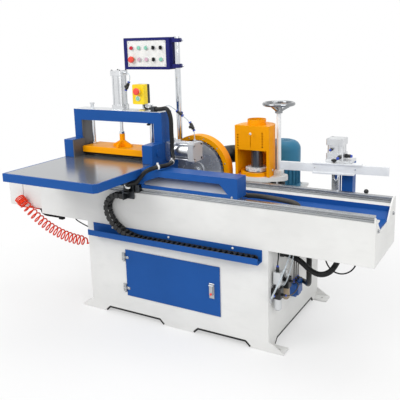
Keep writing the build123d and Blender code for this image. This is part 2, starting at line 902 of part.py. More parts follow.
def make_feed_rod():
    """Piston, rod and the lug under the end of the carriage arm."""
    y, z = feed_y, feed_z
    piston_x = feed_left_x + feed_cap_length + 6.0
    lug_x = arm_end_x - foot_skid_length
    rod = bar_x(feed_bore_radius - running_gap, piston_x, piston_x + feed_piston_length, y, z)
    rod += bar_x(feed_rod_radius, piston_x, lug_x, y, z)
    rod += block(lug_x, lug_x + rod_lug_length, y - rod_lug_width / 2, y + rod_lug_width / 2,
                 z - feed_rod_radius - 9.0, arm_bottom)
    return rod


def make_carriage_blocks():
    """Four bearing blocks that straddle the rails."""
    pieces = []
    w = block_width / 2
    g = rail_width / 2 + block_clearance
    roof = rail_height + block_clearance
    section = [(-w, block_lift), (-g, block_lift), (-g, roof), (g, roof), (g, block_lift), (w, block_lift),
               (w, block_top), (-w, block_top)]
    for y in (rail_front_y, rail_rear_y):
        outline = [(y + a, bed_top + b) for a, b in section]
        for x in (table_left_x + block_left_inset, table_right_x - block_right_inset):
            piece = along_x(outline, x - block_length / 2, x + block_length / 2)
            pieces.append(chamfer(piece.edges().filter_by(Axis.Z), 2.0))
    return pieces


def table_outline(inset):
    """Table plan with its clipped front right corner, in (x, y)."""
    left, right = table_left_x + inset, table_right_x - inset
    front, rear = table_front + inset, table_rear - inset
    return [(left, front), (right - table_corner_x, front), (right, front + table_corner_y), (right, rear),
            (left, rear)]


def make_table_frame():
    """Blue rim and ribs that carry the table plate."""
    frame = along_z(table_outline(0), frame_top_z, table_z)
    frame -= along_z(table_outline(table_rim), frame_top_z - 1, table_z + 1)
    rib_top = table_z - table_plate
    for share in (0.2, 0.5, 0.8):
        x = table_left_x + table_length * share
        frame += block(x - table_rib / 2, x + table_rib / 2, table_front + table_rim, table_rear - table_rim,
                       frame_top_z, rib_top)
    for y in ((table_front + bed_front) / 2, arm_front + 20.0, table_rear - 60.0):
        frame += block(table_left_x + table_rim, table_right_x - table_rim, y - table_rib / 2,
                       y + table_rib / 2,
                       frame_top_z, rib_top)
    return frame


def make_table_top():
    """Polished steel table plate, and the steel chute seen through the arm's window."""
    plate = along_z(table_outline(table_rim), table_z - table_plate, table_z)
    inner_front = arm_front + arm_wall
    inner_rear = arm_rear - arm_wall
    low = arm_bottom + arm_strip
    high = low + 46.0
    s = arm_chute_sheet
    chute = along_x([(inner_front, low), (inner_front + s, low), (inner_rear, high), (inner_rear, high + s)],
                    table_right_x + 2.0, arm_end_x - arm_wall - 2.0)
    return [plate, chute]


def make_carriage_arm():
    """Blue sub frame on the bearing blocks, with the box arm that reaches to the feed rod."""
    w = arm_wall
    arm = block(table_right_x, arm_end_x, arm_front, arm_rear, arm_bottom, table_z)
    arm -= block(table_right_x - 1, arm_end_x - w, arm_front + w, arm_rear - w, arm_bottom - 1, table_z - w)
    skirt = block(arm_skirt_left_x, table_right_x, arm_front, arm_front + w, block_top_z, frame_top_z)
    arm += skirt
    low = arm_bottom + arm_strip
    high = table_z - arm_band
    window = [(arm_window_left_x, low), (arm_window_right_x, low),
              (arm_window_right_x - arm_window_right_slope, high),
              (arm_window_left_x + arm_window_left_slope, high),
              (arm_window_left_x, low + arm_window_left_edge)]
    arm -= along_y(window, arm_front - 1, arm_front + w + 1)
    left = table_left_x + 14.0
    right = table_right_x
    for y in (rail_front_y, rail_rear_y):
        y0 = max(y - sub_frame_width / 2, arm_front)
        arm += block(left, right, y0, y + sub_frame_width / 2, block_top_z, frame_top_z)
    for x in (left, (left + right) / 2 - sub_frame_width / 2, right - sub_frame_width):
        arm += block(x, x + sub_frame_width, rail_front_y, rail_rear_y, block_top_z + 4.0, frame_top_z)
    arm += block(arm_end_x - foot_skid_length, arm_end_x - w, arm_front, arm_rear, arm_bottom,
                 arm_bottom + w)
    return arm


def make_gantry():
    """Blue portal over the table with a jaw block in front of each leg."""
    left, right = table_left_x, leg_right_x
    outline = [(left, table_z), (leg_left_x, table_z), (leg_left_x, gantry_beam_z),
               (leg_right_inner, gantry_beam_z), (leg_right_inner, table_z), (right, table_z),
               (right, gantry_top), (left, gantry_top)]
    frame = along_y(outline, gantry_front_y, gantry_rear)
    frame = fillet(frame.edges().filter_by(Axis.Y).sort_by(Axis.Z)[-2:], gantry_edge)
    jaw_front = gantry_front_y - jaw_depth
    for x0, x1 in ((left, left + jaw_width), (right - jaw_width, right)):
        jaw = block(x0, x1, jaw_front, gantry_front_y, table_z, table_z + jaw_height)
        frame += chamfer(jaw.faces().sort_by(Axis.Y)[0].edges(), 2.0)
    plug_y = gantry_front_y - jaw_depth * 0.42
    plug_z = table_z + jaw_height * 0.53
    frame += bar_x(jaw_plug_radius, right, right + jaw_plug_thickness, plug_y, plug_z)
    frame += bar_x(jaw_screw_radius, left - jaw_screw_length, left, jaw_front + 40.0, table_z + 36.0)
    for x in (gantry_mid_x - press_guide_spread, gantry_mid_x + press_guide_spread):
        frame -= bar_z(press_guide_radius + running_gap, gantry_beam_z - 1, gantry_top + 1, x, gantry_mid_y)
    frame -= bar_z(press_rod_radius + 2.0, gantry_beam_z - 1, gantry_top + 1, gantry_mid_x, gantry_mid_y)
    frame -= bar_x(side_rod_radius + 1.5, leg_right_inner - 1, right + 1, side_axis_y,
                   table_z + side_axis_lift)
    return frame


def make_carriage_plates():
    """Dark steel plates of the carriage: wear plates on the left jaw and leg, and the chain's bracket."""
    m = fence_margin
    jaw_front = gantry_front_y - jaw_depth
    jaw_x = table_left_x + jaw_width
    on_jaw = block(jaw_x, jaw_x + fence_thickness, jaw_front + m, gantry_front_y - m, table_z,
                   table_z + jaw_height - m)
    on_leg = block(leg_left_x, leg_left_x + fence_thickness, gantry_front_y + m, gantry_rear - m, table_z,
                   gantry_beam_z)
    x0 = chain_top_x
    x1 = x0 + chain_bracket_length
    y0, y1 = chain_y - chain_width / 2, chain_y + chain_width / 2
    z0 = chain_top_z - chain_height / 2 - 4.0
    tab_z = block_top_z + 12.0
    bracket = block(x0, x0 + 6.0, y0, y1, z0, conduit_low_z)
    bracket += block(x0, x0 + 36.0, y0, y1, conduit_low_z - 6.0, conduit_low_z)
    bracket += block(x0, x1, y1 - 6.0, y1, z0, tab_z + 6.0)
    bracket += block(x0, x1, y1, arm_front, tab_z, tab_z + 6.0)
    gland = block(conduit_top_x - 26.0, conduit_top_x, conduit_top_y - 15.0, conduit_top_y + 15.0,
                  gantry_top,
                  gantry_top + 2 * conduit_radius + 5.0)
    gland = chamfer(gland.faces().sort_by(Axis.Z)[-1].edges(), 3.0)
    return [on_jaw, on_leg, bracket, gland]


def make_press_cylinder():
    """Press cylinder on the gantry with two air fittings."""
    body = profile_cylinder(press_cap, press_cap_height, press_barrel_length, press_barrel_width,
                            press_bore_radius, press_rod_radius)
    total = 2 * press_cap_height + press_barrel_length
    body += Pos(press_cap / 2, 0, total - press_cap_height / 2) * Rot(0, 90, 0) * push_fitting(port_radius,
                                                                                               port_length)
    elbow_z = press_cap_height / 2
    elbow_x = press_cap / 2 + port_radius + 4.0
    body += bar_x(port_radius - 1.0, press_cap / 2 - 2.0, elbow_x, 0, elbow_z)
    body += bar_z(port_radius, elbow_z - port_radius + 1.0, elbow_z + port_length, elbow_x, 0)
    return Pos(gantry_mid_x, gantry_mid_y, gantry_top) * body


def make_press_rods():
    """Piston with its rod and nut, and the two guide rods with their caps."""
    x, y = gantry_mid_x, gantry_mid_y
    hub_top = plate_top + press_hub_height
    piston_z = gantry_top + press_cap_height + 14.0
    rod = bar_z(press_rod_radius, hub_top, piston_z, x, y)
    rod += bar_z(press_bore_radius - running_gap, piston_z, piston_z + press_piston_height, x, y)
    rod += hex_z(press_nut_radius, hub_top, hub_top + press_nut_height, x, y)
    pieces = [rod]
    for gx in (x - press_guide_spread, x + press_guide_spread):
        guide = bar_z(press_guide_radius, plate_top, gantry_top + 26.0, gx, y)
        guide += bar_z(press_guide_radius + 5.0, plate_top, plate_top + 11.0, gx, y)
        pieces.append(guide + bar_z(press_guide_radius + 4.0, gantry_top + 26.0, gantry_top + 34.0, gx, y))
    return pieces


def make_press_plate():
    """Orange press plate with a ribbed hub, and the rubber pad under it."""
    x0, x1 = plate_left_x, plate_right_x
    y0 = gantry_mid_y - press_plate_depth / 2
    y1 = y0 + press_plate_depth
    plate = block(x0, x1, y0, y1, plate_bottom, plate_top)
    plate = chamfer(plate.faces().sort_by(Axis.Z)[-1].edges(), 4.0)
    cx, cy = gantry_mid_x, gantry_mid_y
    plate += bar_z(press_hub_radius, plate_top, plate_top + press_hub_height, cx, cy)
    t = press_rib_thickness / 2
    low = press_rib_height * 0.25
    profile = [(cx - press_rib_reach, plate_top), (cx + press_rib_reach, plate_top),
               (cx + press_rib_reach, plate_top + low),
               (cx + press_hub_radius, plate_top + press_rib_height),
               (cx - press_hub_radius, plate_top + press_rib_height),
               (cx - press_rib_reach, plate_top + low)]
    plate += along_y(profile, cy - t, cy + t)
    reach = press_rib_reach * 0.8
    cross = [(cy - reach, plate_top), (cy + reach, plate_top), (cy + reach, plate_top + low),
             (cy + press_hub_radius, plate_top + press_rib_height),
             (cy - press_hub_radius, plate_top + press_rib_height), (cy - reach, plate_top + low)]
    plate += along_x(cross, cx - t, cx + t)
    i = press_pad_inset
    pad = block(x0 + i, x1 - i, y0 + i, y1 - i, plate_bottom - press_pad_thickness, plate_bottom)
    return [plate, pad]


def make_side_cylinder():
    """Side clamp cylinder on the right leg, with its flange and two air fittings."""
    body = tie_rod_cylinder(side_cap, side_cap_length, side_barrel_length, side_barrel_radius,
                            side_bore_radius,
                            side_rod_radius)
    total = 2 * side_cap_length + side_barrel_length
    for z in (side_cap_length / 2, total - side_cap_length / 2):
        body += Pos(-side_cap / 2, 0, z) * Rot(0, -90, 0) * push_fitting(port_radius, port_length)
    flange = block(-side_cap / 2, side_cap / 2, -side_cap / 2, side_cap / 2, -side_flange, 0)
    body += flange - bar_z(side_rod_radius + 1.5, -side_flange - 1, 1, 0, 0)
    return Pos(leg_right_x + side_flange, side_axis_y, table_z + side_axis_lift) * Rot(0, 90, 0) * body


def make_side_pusher():
    """Pusher plate inside the gantry with its rod and piston."""
    y, z = side_axis_y, table_z + side_axis_lift
    back_x = pusher_face_x + pusher_thickness
    plate = block(pusher_face_x, back_x, y - pusher_width / 2, y + pusher_width / 2,
                  z - pusher_height / 2, z + pusher_height / 2)
    plate = chamfer(plate.edges().filter_by(Axis.X), 5.0)
    end = leg_right_x + side_flange + side_cap_length + side_barrel_length - side_piston_length - 8.0
    plate += bar_x(side_rod_radius, back_x, end, y, z)
    plate += bar_x(side_bore_radius - running_gap, end, end + side_piston_length, y, z)
    return plate


def station_control(row):
    """Centre of a control on the button station: row 0 is the stop, row 1 the start."""
    z = gantry_top + station_lift + station_height * (0.66 if row == 0 else 0.3)
    return station_left_x + station_width / 2, station_front_y, z


def make_estop_box():
    """Yellow cover and black back of the button station, and its angle bracket."""
    x0, x1 = station_left_x, station_left_x + station_width
    z0 = gantry_top + station_lift
    y0 = station_front_y
    y1 = y0 + station_cover_depth
    cover = block(x0, x1, y0, y1, z0, z0 + station_height)
    cover = fillet(cover.edges().filter_by(Axis.Y), station_edge)
    for row in (0, 1):
        cx, cy, cz = station_control(row)
        cover += bar_y(control_bezel_radius, cy - control_bezel_height, cy, cx, cz)
        cover -= bar_y(control_cap_radius + control_gap, cy - control_bezel_height - 1, cy + 20.0, cx, cz)
    back = block(x0 + 1, x1 - 1, y1, y1 + station_back_depth, z0 + 1, z0 + station_height - 1)
    back = fillet(back.edges().filter_by(Axis.Y), station_edge)
    plate_y = y1 + station_back_depth
    bracket = block(x0 + 20.0, x1 - 20.0, plate_y, plate_y + 3.0, gantry_top, z0 + station_height * 0.7)
    bracket += block(x0 + 20.0, x1 - 20.0, plate_y - 36.0, plate_y, gantry_top, gantry_top + 3.0)
    return [cover, back, bracket]


def chain_path():
    """Points along the drag chain in (x, z), from the carriage end to the fixed end in the tray."""
    floor = tray_floor_z + tray_sheet + chain_height / 2 + 1.0
    r = chain_bend_radius
    bend_x = chain_top_x - 40.0
    path = Polyline((chain_top_x, chain_top_z), (bend_x, chain_top_z))
    drop = chain_top_z - r
    path += CenterArc((bend_x, drop), r, 90, 90)
    low = bend_x - r
    slope_x = low + 235.0
    path += Bezier((low, drop), (low, floor + 78.0), (low + 92.0, floor), (slope_x, floor))
    path += Line((slope_x, floor), (chain_right_x, floor))
    return Wire(path.edges())


def make_drag_chain():
    """Drag chain links: two side cheeks joined by a bar above and below, one solid each."""
    path = chain_path()
    count = int(path.length // chain_pitch)
    h = chain_height / 2
    half = (chain_pitch - chain_gap) / 2
    cheek = [(-half, -h * 0.55), (-half * 0.5, -h), (half * 0.5, -h), (half, -h * 0.55), (half, h * 0.55),
             (half * 0.5, h), (-half * 0.5, h), (-half, h * 0.55)]
    w = chain_width / 2
    link = along_y(cheek, -w, -w + chain_wall) + along_y(cheek, w - chain_wall, w)
    for z0, z1 in ((-h, -h + 3.0), (h - 3.0, h)):
        link += block(-chain_bar / 2, chain_bar / 2, -w + chain_wall, w - chain_wall, z0, z1)
    links = []
    for i in range(count):
        a = path @ ((i * chain_pitch) / path.length)
        b = path @ (((i + 1) * chain_pitch) / path.length)
        turn = math.degrees(math.atan2(b.Y - a.Y, b.X - a.X))
        links.append(Pos((a.X + b.X) / 2, chain_y, (a.Y + b.Y) / 2) * Rot(0, -turn, 0) * link)
    return links


def make_carriage_conduit():
    """Black conduit from the chain bracket to the gantry, the station's cable and the air lines."""
    x, y = conduit_rise_x, conduit_rise_y
    z = gantry_top + conduit_radius + 2.0
    c = chain_y
    points = [(chain_top_x + 18.0, c, conduit_low_z), (chain_top_x + 18.0, c, conduit_low_z + 20.0),
              (-231.0, c - 1.0, 792.0), (-204.0, c - 3.0, 801.0), (-173.0, c - 4.0, 811.0),
              (-150.0, c - 4.0, 838.0),
              (-122.0, c - 2.0, 869.0), (-90.0, c + 8.0, 888.0), (-60.0, c + 46.0, 894.0),
              (-52.0, c + 108.0, 889.0),
              (-66.0, c + 172.0, 888.0), (-96.0, y - 32.0, 893.0), (x, y - 2.0, 932.0), (x + 1.0, y, 990.0),
              (x - 1.0, y, 1050.0), (x, y + 1.0, 1106.0), (x - 10.0, y + 3.0, 1148.0),
              (x - 34.0, y + 7.0, 1174.0),
              (conduit_top_x + 36.0, conduit_top_y, z), (conduit_top_x, conduit_top_y, z)]
    conduit = tube(points, conduit_radius)
    box_x = station_left_x + station_width - 14.0
    box_y = station_front_y + station_cover_depth / 2
    box_z = gantry_top + station_lift
    cable = tube([(conduit_top_x - 26.0, conduit_top_y, z), (conduit_top_x - 46.0, conduit_top_y, z),
                  (box_x + 24.0, box_y - 8.0, z - 2.0), (box_x + 9.0, box_y - 3.0, z + 1.0),
                  (box_x + 2.0, box_y - 1.0, z + 8.0), (box_x, box_y, z + 16.0), (box_x, box_y, box_z)],
                 station_cable_radius)
    return [conduit, cable, press_air_line(), side_air_line()]


def press_air_line():
    """Thin air line from the press cylinder's upper fitting round to the elbow of its lower cap."""
    x = gantry_mid_x + press_cap / 2
    y = gantry_mid_y
    total = 2 * press_cap_height + press_barrel_length
    top = gantry_top + total - press_cap_height / 2
    foot_x = x + port_radius + 4.0
    foot = gantry_top + press_cap_height / 2 + port_length
    points = [(x + port_length, y, top), (x + port_length + 10.0, y, top),
              (x + port_length + 23.0, y - 1.0, top - 9.0),
              (x + port_length + 28.0, y - 3.0, top - 28.0), (x + port_length + 22.0, y - 7.0, top - 52.0),
              (x + port_length + 10.0, y - 11.0, top - 78.0), (x + port_length, y - 12.0, top - 106.0),
              (foot_x - 2.0, y - 8.0, foot + 44.0), (foot_x, y - 2.0, foot + 18.0), (foot_x, y, foot)]
    return tube(points, air_line_radius)


def side_air_line():
    """Thin air line from the side clamp's outer cap up to the top of the gantry."""
    x = leg_right_x + side_flange + 2 * side_cap_length + side_barrel_length - side_cap_length / 2
    y = side_axis_y
    z = table_z + side_axis_lift + side_cap / 2 + port_length
    end_x = leg_right_x - 22.0
    end_y = y - 18.0
    points = [(x, y, z), (x, y, z + 22.0), (x - 3.0, y - 2.0, z + 52.0), (x - 18.0, y - 4.0, z + 84.0),
              (x - 44.0, y - 8.0, z + 114.0), (x - 76.0, y - 12.0, z + 138.0),
              (x - 108.0, y - 15.0, gantry_top + 7.0),
              (x - 132.0, y - 17.0, gantry_top + 23.0), (x - 154.0, end_y, gantry_top + 33.0),
              (end_x + 9.0, end_y, gantry_top + 27.0), (end_x + 1.0, end_y, gantry_top + 9.0),
              (end_x, end_y, gantry_top)]
    return tube(points, air_line_radius)


def make_saw_blade():
    """Trim saw blade with its teeth, clamping flanges, arbor and nut."""
    step = 360.0 / saw_teeth
    outline = []
    for i in range(saw_teeth):
        a = i * step
        outline += [ring_point(saw_radius, a), ring_point(saw_radius - 2.0, a + step * 0.32),
                    ring_point(saw_radius - saw_gullet, a + step * 0.62)]
    disc = Plane.XZ * Polygon(*outline, align=None)
    blade = extrude(disc, saw_thickness, dir=(0, 1, 0))
    back = saw_hood_depth + 16.0
    blade += bar_y(saw_flange_radius, -saw_flange_thickness, 0, 0, 0)
    blade += bar_y(saw_flange_radius, saw_thickness, saw_thickness + saw_flange_thickness, 0, 0)
    blade += bar_y(saw_arbor_radius, saw_thickness, back, 0, 0)
    nut = Plane.XZ.offset(saw_flange_thickness) * RegularPolygon(saw_arbor_radius * 1.3, 6)
    blade += extrude(nut, 16.0, dir=(0, -1, 0))
    return Pos(saw_x, saw_front + 2.0, saw_z) * blade


def make_saw_hood():
    """Orange chip hood round the upper half of the saw blade: face ring, rim, back and skirts."""
    t = saw_hood_sheet
    depth = saw_hood_depth
    low = -saw_hood_skirt

    def dome(radius, y0, y1):
        upper = bar_y(radius, y0, y1, 0, 0) - block(-radius - 1, radius + 1, y0 - 1, y1 + 1, -radius - 1, 0)
        return upper + block(-radius, radius, y0, y1, low, 0)

    hood = dome(saw_hood_outer, 0, depth)
    hood -= dome(saw_hood_outer - t, t, depth - t)
    hood -= dome(saw_hood_inner, -1, t + 1)
    hood -= block(-saw_hood_outer + t, saw_hood_outer - t, t, depth - t, low - 1, low + 1)
    hood -= block(-saw_hood_inner, saw_hood_inner, -1, t + 1, low - 1, low + 1)
    hood -= bar_y(saw_arbor_radius + 8.0, depth - t - 1, depth + 1, 0, 0)
    hood -= bar_y(duct_radius - duct_wall, depth - t - 1, depth + 1, duct_x - saw_x, duct_rise)
    return Pos(saw_x, saw_front, saw_z) * hood


def make_saw_motor():
    """Finned saw motor behind the hood, on a white stand that also carries the hood."""
    y0 = saw_front + saw_hood_depth + 14.0
    y1 = y0 + saw_motor_length
    shell = bar_y(saw_motor_radius, y0, y1, saw_x, saw_z)
    shell += bar_y(saw_motor_radius + saw_motor_fin_height, y1 - 62.0, y1, saw_x, saw_z)
    for i in range(saw_motor_fins):
        fin = block(saw_motor_radius - 2.0, saw_motor_radius + saw_motor_fin_height, y0 + 14.0, y1 - 62.0,
                    -1.5, 1.5)
        shell += Pos(saw_x, 0, saw_z) * Rot(0, i * 360.0 / saw_motor_fins, 0) * fin
    shell -= bar_y(saw_arbor_radius + 0.5, y0 - 1, y0 + 12.0, saw_x, saw_z)
    half = saw_stand_width / 2
    foot_z = saw_z - saw_motor_radius - saw_motor_fin_height
    stand = block(saw_x - half, saw_x + half, y0 + 8.0, y1 - 20.0, base_height, foot_z - 1.0)
    stand -= block(saw_x - half - 1, saw_x + half + 1, y0 + 20.0, y1 - 32.0, base_height + 12.0,
                   foot_z - 13.0)
    saddle = block(saw_x - half, saw_x + half, y0 + 8.0, y1 - 20.0, foot_z - 1.0, saw_z - 40.0)
    saddle -= bar_y(saw_motor_radius + saw_motor_fin_height + 0.5, y0, y1, saw_x, saw_z)
    wall = block(saw_x - half, saw_x + half, saw_front + saw_hood_depth, y0 + 8.0, base_height, saw_z - 30.0)
    wall -= block(saw_x - half + 10.0, saw_x + half - 10.0, saw_front + saw_hood_depth - 1, y0 + 9.0,
                  base_height + 12.0, saw_z - 110.0)
    return [shell, stand + saddle + wall]


def make_saw_duct():
    """Black rubber dust elbow from the back of the saw hood down to the cabinet."""
    x, y, z = duct_x, saw_front + saw_hood_depth, saw_z + duct_rise
    y1 = y + duct_straight
    points = [(x, y, z), (x, y1, z), (x + duct_reach, y1 + duct_reach, z),
              (x + duct_reach, y1 + duct_reach, base_height)]
    path = FilletPolyline(*points, radius=[duct_elbow_radius, duct_drop_radius])
    section = Plane(path @ 0, z_dir=path % 0) * (Circle(duct_radius) - Circle(duct_radius - duct_wall))
    return sweep(section, path=path)


def make_shaper_base():
    """White carrier of the spindle: plate, quill sleeve, legs, motor plate, and the handwheel column."""
    x, y = spindle_x, spindle_y
    cx, cy = x + column_offset_x, y + column_offset_y
    top = spindle_base_z
    low = top - spindle_plate_thickness
    plan = make_hull((Pos(x, y) * Circle(spindle_plate_radius)).edges() +
                     (Pos(cx, cy) * Circle(column_end_radius)).edges())
    body = Pos(0, 0, low) * extrude(plan, spindle_plate_thickness)
    front = rail_rear_y + block_width / 2 + spindle_plate_gap
    body -= block(x - 200.0, cx + 100.0, front - 100.0, front, low - 1, top + 1)
    body += bar_z(quill_sleeve_radius, low - quill_sleeve_drop, low, x, y)
    leg = spindle_leg
    leg_rear = y + spindle_leg_rear
    for lx in (x - spindle_leg_from_left, x + quill_sleeve_radius + 16.0):
        body += block(lx, lx + leg, y - spindle_leg_front, leg_rear, base_height, low)
    body -= bar_z(quill_radius + running_gap, low - quill_sleeve_drop - 1, top + 1, x, y)
    plate_low = motor_plate_z
    plate_top = motor_plate_z + motor_plate_thickness
    half = motor_plate_half
    body += block(motor_x - half, motor_x + half, leg_rear - 8.0, motor_y + half, plate_low, plate_top)
    body -= bar_z(motor_shaft_radius + 14.0, plate_low - 1, plate_top + 1, motor_x, motor_y)
    for gx in (motor_x - half, motor_x + half - leg):
        gusset = [(half_depth - 60.0, base_height), (half_depth, base_height),
                  (motor_y + half - 20.0, plate_low),
                  (half_depth - 60.0, plate_low)]
        body += along_x(gusset, gx, gx + leg)
    h = column_block / 2
    column = block(cx - h, cx + h, cy - h, cy + h, top, top + column_block_height)
    column = chamfer(column.faces().sort_by(Axis.Z)[-1].edges(), 5.0)
    column += bar_z(column_radius, top + column_block_height, top + column_height, cx, cy)
    column -= bar_z(handwheel_screw_radius + running_gap, top - 1, top + column_height + 1, cx, cy)
    body -= bar_z(handwheel_screw_radius + 3.0, low - 1, top + 1, cx, cy)
    return [body + column]


def make_spindle_quill():
    """Steel quill that carries the spindle bearings and slides in the sleeve."""
    top = spindle_base_z + quill_rise
    quill = bar_z(quill_radius, top - quill_height, top, spindle_x, spindle_y)
    quill += bar_z(quill_flange_radius, top, top + quill_flange_height, spindle_x, spindle_y)
    quill -= bar_z(spindle_radius + running_gap, top - quill_height - 1, top + quill_flange_height + 1,
                   spindle_x, spindle_y)
    return quill


def spindle_seat_z():
    """Height of the shoulder that the cutter rests on."""
    return spindle_base_z + quill_rise + quill_flange_height + 1.0


def make_spindle_shaft():
    """Spindle with its drum pulley below and the black collars and nut above the cutter."""
    x, y = spindle_x, spindle_y
    seat = spindle_seat_z()
    drum_top = spindle_base_z + quill_rise - quill_height - 1.0
    drum_low = drum_top - spindle_drum_height
    shaft = bar_z(spindle_radius, drum_low, seat + cutter_height, x, y)
    shaft += bar_z(spindle_drum_radius, drum_low, drum_top, x, y)
    z = seat + cutter_height
    groove = 1.2
    for i in range(spindle_collar_count):
        shaft += bar_z(spindle_collar_radius, z, z + spindle_collar_height - groove, x, y)
        z += spindle_collar_height - groove
        shaft += bar_z(spindle_collar_radius - 2.0, z, z + groove, x, y)
        z += groove
    return shaft + hex_z(spindle_nut_radius, z, z + spindle_nut_height, x, y)


def make_cutter_head():
    """Finger cutter: a body with raked wings, each ground with a gullet in front."""
    seat = spindle_seat_z()
    body = Circle(cutter_radius)
    for i in range(cutter_wings):
        a = i * 360.0 / cutter_wings
        gullet = Pos(*ring_point(cutter_radius - 2.0, a)) * Rot(0, 0, a) * Ellipse(cutter_gullet,
                                                                                   cutter_gullet * 0.6)
        body -= gullet
    head = extrude(body, cutter_height)
    head -= bar_z(spindle_radius, -1, cutter_height + 1, 0, 0)
    groove = cutter_height / 4
    rim = bar_z(cutter_radius + 1, cutter_height / 2 - groove / 2, cutter_height / 2 + groove / 2, 0, 0)
    head -= rim - bar_z(cutter_radius - 9.0, -1, cutter_height + 1, 0, 0)
    return Pos(spindle_x, spindle_y, seat) * head


def make_shaper_hood():
    """Orange chip hood over the spindle: flat face on two legs, round back, ring base and dust spigot."""
    x, y = spindle_x, spindle_y
    w = hood_half_width
    low, high = spindle_base_z, hood_top_z
    t = hood_sheet

    def plan(r, front):
        shape = Pos(0, -front / 2) * Rectangle(2 * r, front)
        return shape + (Circle(r) - Pos(0, -r) * Rectangle(4 * r, 2 * r))

    hood = extrude(plan(w, hood_front), high - low)
    hood -= extrude(plan(w - t, hood_front - t), high - low - t)
    face_low = high - low - hood_face_height
    hood -= block(-w + hood_leg, w - 16.0, -hood_front - 1, -hood_front + t + 1, -1, face_low)
    hood -= bar_z(hood_spigot_radius - 3.0, high - low - t - 1, high - low + 1, 0, 0)
    spigot = bar_z(hood_spigot_radius, high - low, high - low + hood_spigot_height, 0, 0)
    hood += spigot - bar_z(hood_spigot_radius - 3.0, high - low - 1, high - low + hood_spigot_height + 1,
                           0, 0)
    ring = bar_z(hood_ring_outer, 0, hood_ring_height, 0, 0) - bar_z(hood_ring_inner, -1,
                                                                     hood_ring_height + 1, 0, 0)
    hood += ring
    slot_low = high - low - 78.0
    hood -= block(-9.0, -6.0, -hood_front - 1, -hood_front + t + 1, slot_low - 42.0, slot_low + 26.0)
    for i in range(hood_slot_count):
        z = slot_low + 34.0 - i * 15.0
        hood -= block(w - 44.0, w - 36.0, -hood_front - 1, -hood_front + t + 1, z, z + 8.0)
        hood -= block(-w + 14.0, -w + 22.0, -hood_front - 1, -hood_front + t + 1, z - 14.0, z - 6.0)
    return Pos(x, y, low) * hood


def make_spindle_motor():
    """Upright motor: finned frame, domed fan cowl with an air grille, and terminal box."""
    r = motor_radius
    frame_height = motor_height - motor_cowl_height
    frame = Cylinder(r - motor_fin_height, frame_height, align=(Align.CENTER, Align.CENTER, Align.MIN))
    frame += Cylinder(r, 22.0, align=(Align.CENTER, Align.CENTER, Align.MIN))
    for i in range(motor_fins):
        fin = block(r - motor_fin_height - 2.0, r - 1.0, -2.0, 2.0, 20.0, frame_height)
        frame += Rot(0, 0, i * 360.0 / motor_fins) * fin
    c = motor_cowl_round
    outline = Polyline((0, frame_height), (r, frame_height), (r, motor_height - c))
    outline += CenterArc((r - c, motor_height - c), c, 0, 90)
    outline += Polyline((r - c, motor_height), (0, motor_height), (0, frame_height))
    frame += revolve(Plane.XZ * make_face(outline), Axis.Z)
    for i in range(5):
        slot = 12.0 + i * 9.0
        cut = bar_z(slot + 4.0, motor_height - 6.0, motor_height + 1, 0, 0) - bar_z(slot, 0,
                                                                                    motor_height + 2, 0, 0)
        frame -= cut
    box_z = 34.0
    frame += block(r - 14.0, r + motor_box_depth, -motor_box_width / 2, motor_box_width / 2, box_z,
                   box_z + motor_box_height)
    frame -= bar_z(motor_shaft_radius + running_gap, -1, 40.0, 0, 0)
    return Pos(motor_x, motor_y, motor_plate_z + motor_plate_thickness) * Rot(0, 0, 90) * frame


def make_motor_pulley():
    """Motor shaft end with its crowned flat belt pulley."""
    middle = belt_z + belt_width / 2
    low = middle - motor_pulley_height / 2
    pulley = bar_z(motor_pulley_radius, low, low + motor_pulley_height, motor_x, motor_y)
    groove = bar_z(motor_pulley_radius - 9.0, low - 1, low + 12.0, motor_x, motor_y)
    pulley -= groove - bar_z(motor_shaft_radius + 12.0, low - 2, low + 13.0, motor_x, motor_y)
    return pulley + bar_z(motor_shaft_radius, low, motor_plate_z + motor_plate_thickness + 34.0, motor_x,
                          motor_y)


def make_drive_belt():
    """Flat belt round the spindle drum and the motor pulley."""
    a = Vector(spindle_x, spindle_y)
    b = Vector(motor_x, motor_y)
    line = b - a
    heading = math.degrees(math.atan2(line.Y, line.X))
    distance = line.length

    def loop(extra):
        r0 = spindle_drum_radius + extra
        r1 = motor_pulley_radius + extra
        lean = math.degrees(math.acos((r0 - r1) / distance))
        p0 = ring_point(r0, lean)
        p1 = ring_point(r1, lean)
        sides = Polygon((p0[0], -p0[1]), (distance + p1[0], -p1[1]), (distance + p1[0], p1[1]),
                        (p0[0], p0[1]),
                        align=None)
        return sides + Circle(r0) + Pos(distance, 0) * Circle(r1)

    band = loop(belt_gap + belt_thickness) - loop(belt_gap)
    return Pos(spindle_x, spindle_y, belt_z) * Rot(0, 0, heading) * extrude(band, belt_width, dir=(0, 0, 1))


def make_handwheel():
    """Handwheel with dished spokes, hub and the lift screw that runs down the column."""
    z = spindle_base_z + column_height + handwheel_gap
    cx = spindle_x + column_offset_x
    hub = bar_z(handwheel_hub_radius, 0, handwheel_hub_height * 0.5, 0, 0)
    hub += bar_z(handwheel_hub_radius * 0.8, handwheel_hub_height * 0.5, handwheel_hub_height, 0, 0)
    rim_r = handwheel_radius - handwheel_rim_radius
    rim_z = handwheel_hub_height - handwheel_rim_radius + 4.0 + handwheel_dish
    wheel = hub + Pos(0, 0, rim_z) * Torus(rim_r, handwheel_rim_radius)
    for i in range(handwheel_spokes):
        spoke = along_y([(handwheel_hub_radius - 6.0, 8.0), (rim_r, rim_z - 5.0), (rim_r, rim_z + 5.0),
                         (handwheel_hub_radius - 6.0, 24.0)], -8.0, 8.0)
        wheel += Rot(0, 0, i * 360.0 / handwheel_spokes + 20.0) * spoke
    screw_low = spindle_base_z - spindle_plate_thickness - 40.0
    wheel += bar_z(handwheel_screw_radius, screw_low - z, 0, 0, 0)
    return Pos(cx, spindle_y + column_offset_y, z) * wheel


